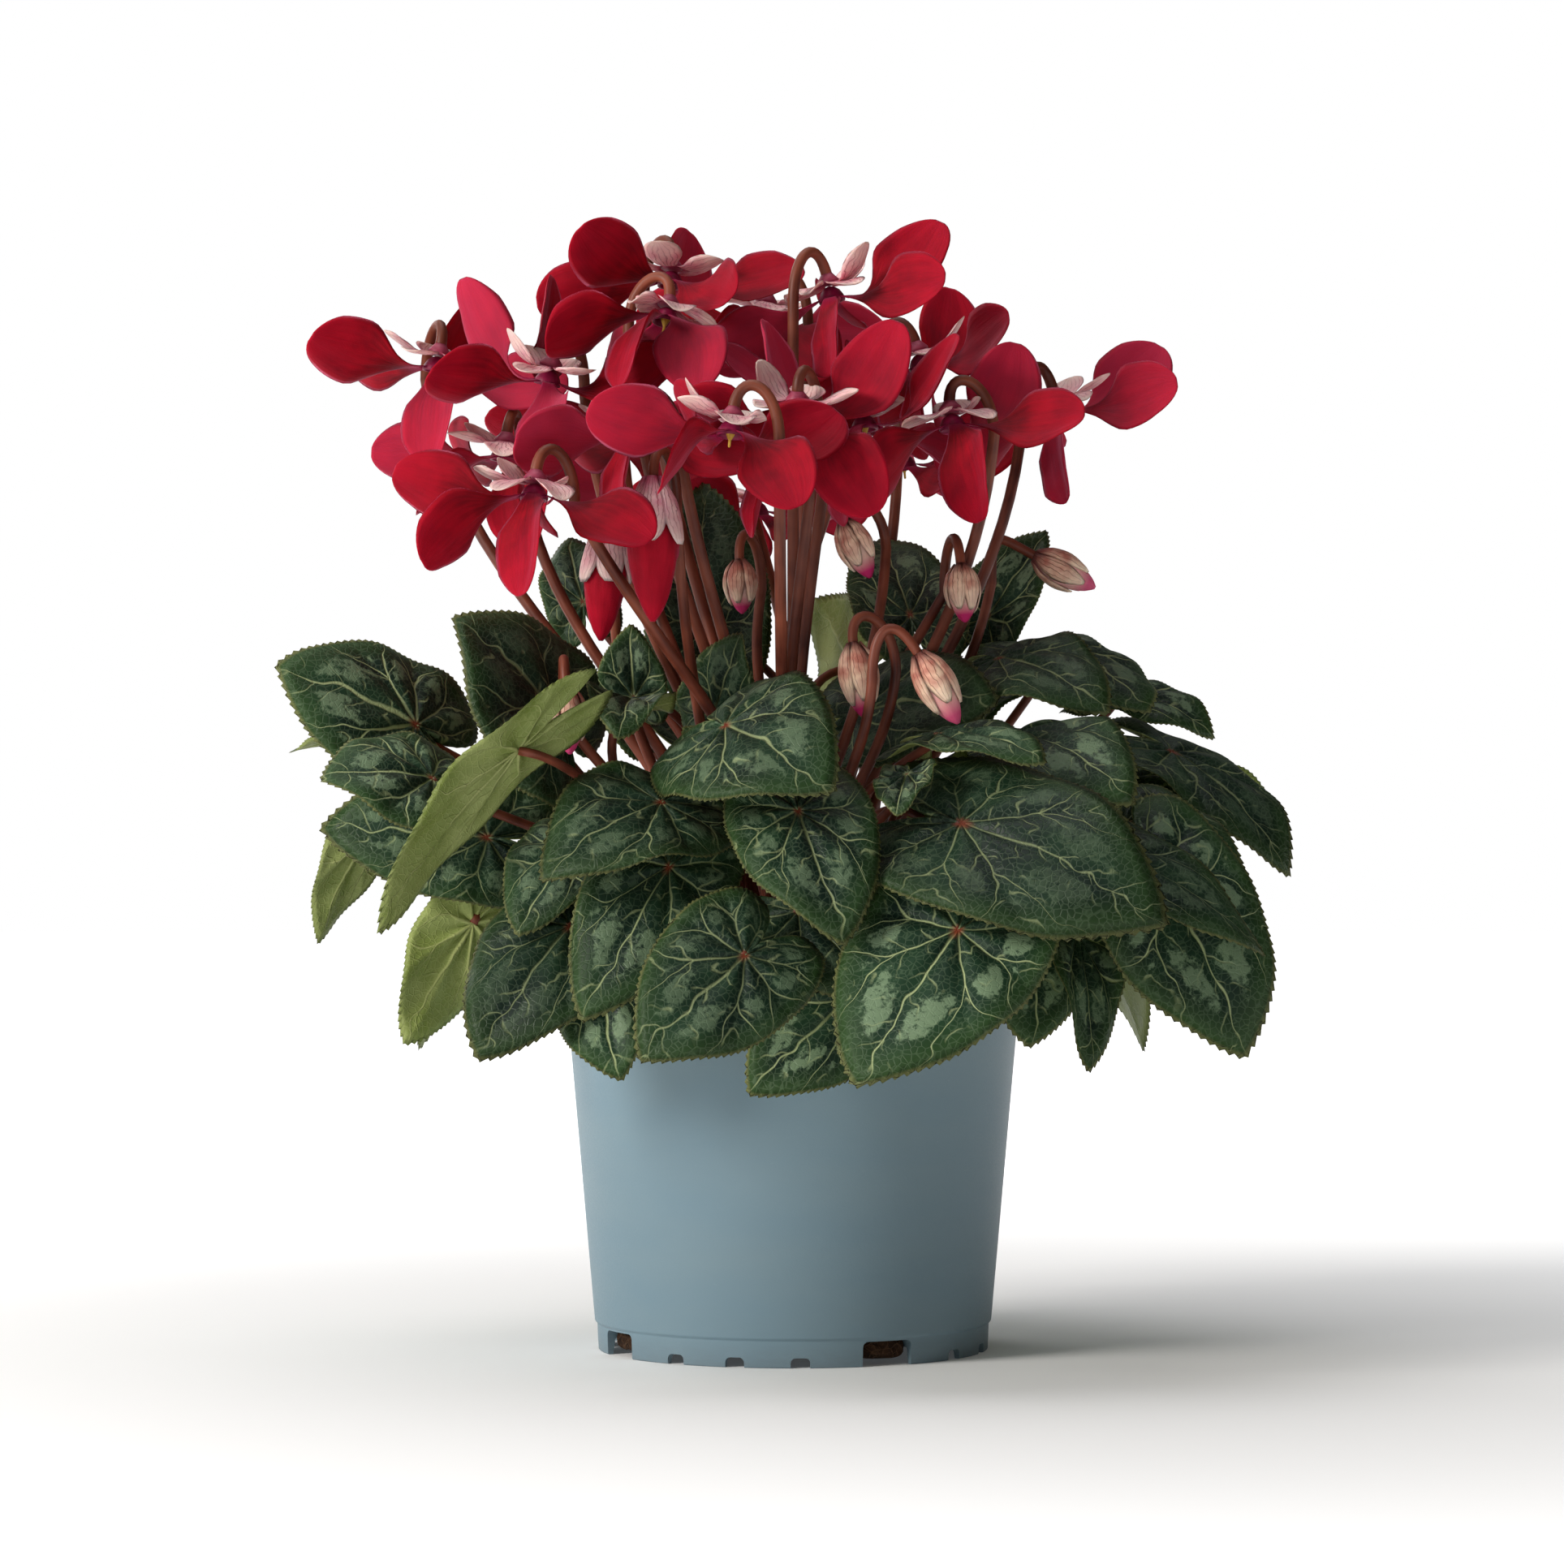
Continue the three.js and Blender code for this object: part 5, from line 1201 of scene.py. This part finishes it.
stalkLook = {"dark": "#451b11", "light": "#7f4230", "lines": 9, "streak": 9, "blotch": 10, "relief": 0.05}
bloomStalkLook = {"dark": "#43180f", "light": "#8a4833", "lines": 10, "streak": 12, "blotch": 14,
                  "relief": 0.05}
ringLook = {"dark": "#7c1c3c", "light": "#a8475e", "lines": 12, "streak": 3, "blotch": 3, "relief": 0.06}
throatLook = {"dark": "#5c0726", "light": "#98184a", "lines": 10, "streak": 3, "blotch": 3, "relief": 0.05}
stamenLook = {"dark": "#a8791f", "light": "#d9b24a", "lines": 10, "streak": 2, "blotch": 2, "relief": 0.1}
budLook = {
    "deep": "#cf9a90", "crimson": "#e8c2b2", "lit": "#c12c68", "root": "#7d3a38", "mauve": ("#c97f8c", 0.4),
    "tip": (0.68, 0.88, 1), "across": 26, "length": 18, "streak": (1.6, 9), "sheen": 0.05, "relief": 0.1,
}
# the furled petals carry the same painted shade in their deep tone and painted glow in their tip tint as the
# open ones
furledLook = {
    "deep": "#6a0312", "crimson": "#a90d24", "lit": "#c60f2e", "root": "#7c1230", "mauve": ("#a82443", 0.4),
    "tip": (0.3, 1, 0.6), "across": 40, "length": 33, "streak": (1.4, 12), "sheen": 0.4, "relief": 0.18,
}
budSepalLook = {"pale": "#ebc3a8", "blush": "#b87262", "line": "#7a3d33", "root": "#64302a", "tip": "#f4dcc4",
                "lines": 5, "relief": 0.08}


# stage, light and camera

floorLook = {
    "paper": "#fafafa", "near": 0.04, "strength": 0.95,
    "radius": 4, "plain": 0.1, "glow": 0.8,  # metres
}
roomLook = {"window": "#f4f6f8", "wall": "#372d25", "strength": 0.43}
lights = [
    # name, place in mm, what it looks at, size in mm, power in watts, colour
    ("windowKey", (-1550, -1050, 900), (0, 0, 160), 800, 32, "#fffaf4"),
    ("overhead", (-200, 100, 1500), (0, 0, 150), 1200, 7, "#ffffff"),
    ("backLeft", (-900, 1100, 800), (0, 0, 200), 800, 4, "#ffffff"),
]
cameraLook = {"place": (-1.09, -1399.04, 147.7), "lens": 122.6, "sensor": 36}  # mm


def buildFloor():
    # matt white paper with a barely visible tooth, which glows further out so that its edge doesn't show
    look = floorLook
    turns = np.linspace(0, 2 * math.pi, 96, endpoint=False)
    points = [(look["radius"] * math.cos(t), look["radius"] * math.sin(t), 0) for t in turns]
    data = bpy.data.meshes.new("paperFloor")
    data.from_pydata(points, [], [list(range(len(points)))])
    material = bpy.data.materials.new("Matt white paper")
    material.use_nodes = True
    add = functools.partial(addNode, material.node_tree)
    where = add("TexCoord").outputs["Object"]
    distance = add("VectorMath LENGTH", where).outputs["Value"]
    glow = add("MapRange SMOOTHSTEP", distance, look["plain"], look["glow"], look["near"], look["strength"])
    setSockets(material.node_tree.nodes["Principled BSDF"], {
        "Base Color": look["paper"], "Specular IOR Level": 0.1,
        "Roughness": add("MapRange", add("TexNoise", where, 900, 2), 0, 1, 0.85, 1),
        "Emission Color": look["paper"], "Emission Strength": glow})
    data.materials.append(material)
    floor = addObject("paperFloor", data)


def aim(thing, place, target):
    thing.location = [c / 1000 for c in place]
    way = Vector([(t - p) / 1000 for p, t in zip(place, target)])
    thing.rotation_euler = way.to_track_quat("-Z", "Y").to_euler()


def buildLights():
    for name, place, target, size, power, tint in lights:
        data = bpy.data.lights.new(name, "AREA")
        data.shape, data.size, data.energy, data.color = "DISK", size / 1000, power, linear(tint)[:3]
        aim(addObject(name, data), place, target)
    # the room is white on the window's side and a warm grey on the other, behind a plain white background
    world = bpy.data.worlds.new("studioRoom")
    world.use_nodes = True
    add = functools.partial(addNode, world.node_tree)
    side = add("SeparateXYZ", add("TexCoord").outputs["Generated"])
    walls = overlay(add, roomLook["window"], (add("MapRange SMOOTHSTEP", side, -1), roomLook["wall"]))
    room = add("Background", walls, roomLook["strength"])
    seen = add("LightPath").outputs["Is Camera Ray"]
    both = add("MixShader", seen, room, add("Background", "#ffffff", 1))
    setSockets(world.node_tree.nodes["World Output"], {"Surface": both})
    bpy.context.scene.world = world


def buildCamera():
    data = bpy.data.cameras.new("photoCamera")
    data.lens, data.sensor_width, data.clip_end = cameraLook["lens"], cameraLook["sensor"], 20
    camera = addObject("photoCamera", data)
    x, y, z = cameraLook["place"]
    aim(camera, (x, y, z), (x, 0, z))
    bpy.context.scene.camera = camera
    bpy.context.scene.view_settings.view_transform = "Standard"


buildPot()
buildSoil()
buildTuber()
leafMaterials = [leafMaterial("Waxy cyclamen leaf, upper side", True),
                 leafMaterial("Cyclamen leaf, underside", False),
                 stalkMaterial("Reddish leaf stalk", stalkLook)]
buildSprays("leaf_spray", "leafSpray", leafMaterials, 2, placeLeaves, addLeaf)
sepals = sepalMaterial("Pale calyx leaf", sepalLook)
bloomStalk = stalkMaterial("Brown flower stalk", bloomStalkLook)
buildBlooms([petalMaterial("Velvety crimson petal", petalLook),
             stalkMaterial("Petal tube and throat", throatLook),
             stalkMaterial("Ripe stamen cone", stamenLook)],
            [bloomStalk, sepals, stalkMaterial("Calyx ring", ringLook)])
budMaterials = [bloomStalk, sepalMaterial("Bud's calyx leaf", budSepalLook),
                petalMaterial("Closed bud, cream and pink", budLook),
                petalMaterial("Furled crimson petals", furledLook), sepals]
buildSprays("bud_spray", "budSpray", budMaterials, 0, placeBuds, addFlowerBud)
buildFloor()
buildLights()
buildCamera()
print("stage, lights and camera")
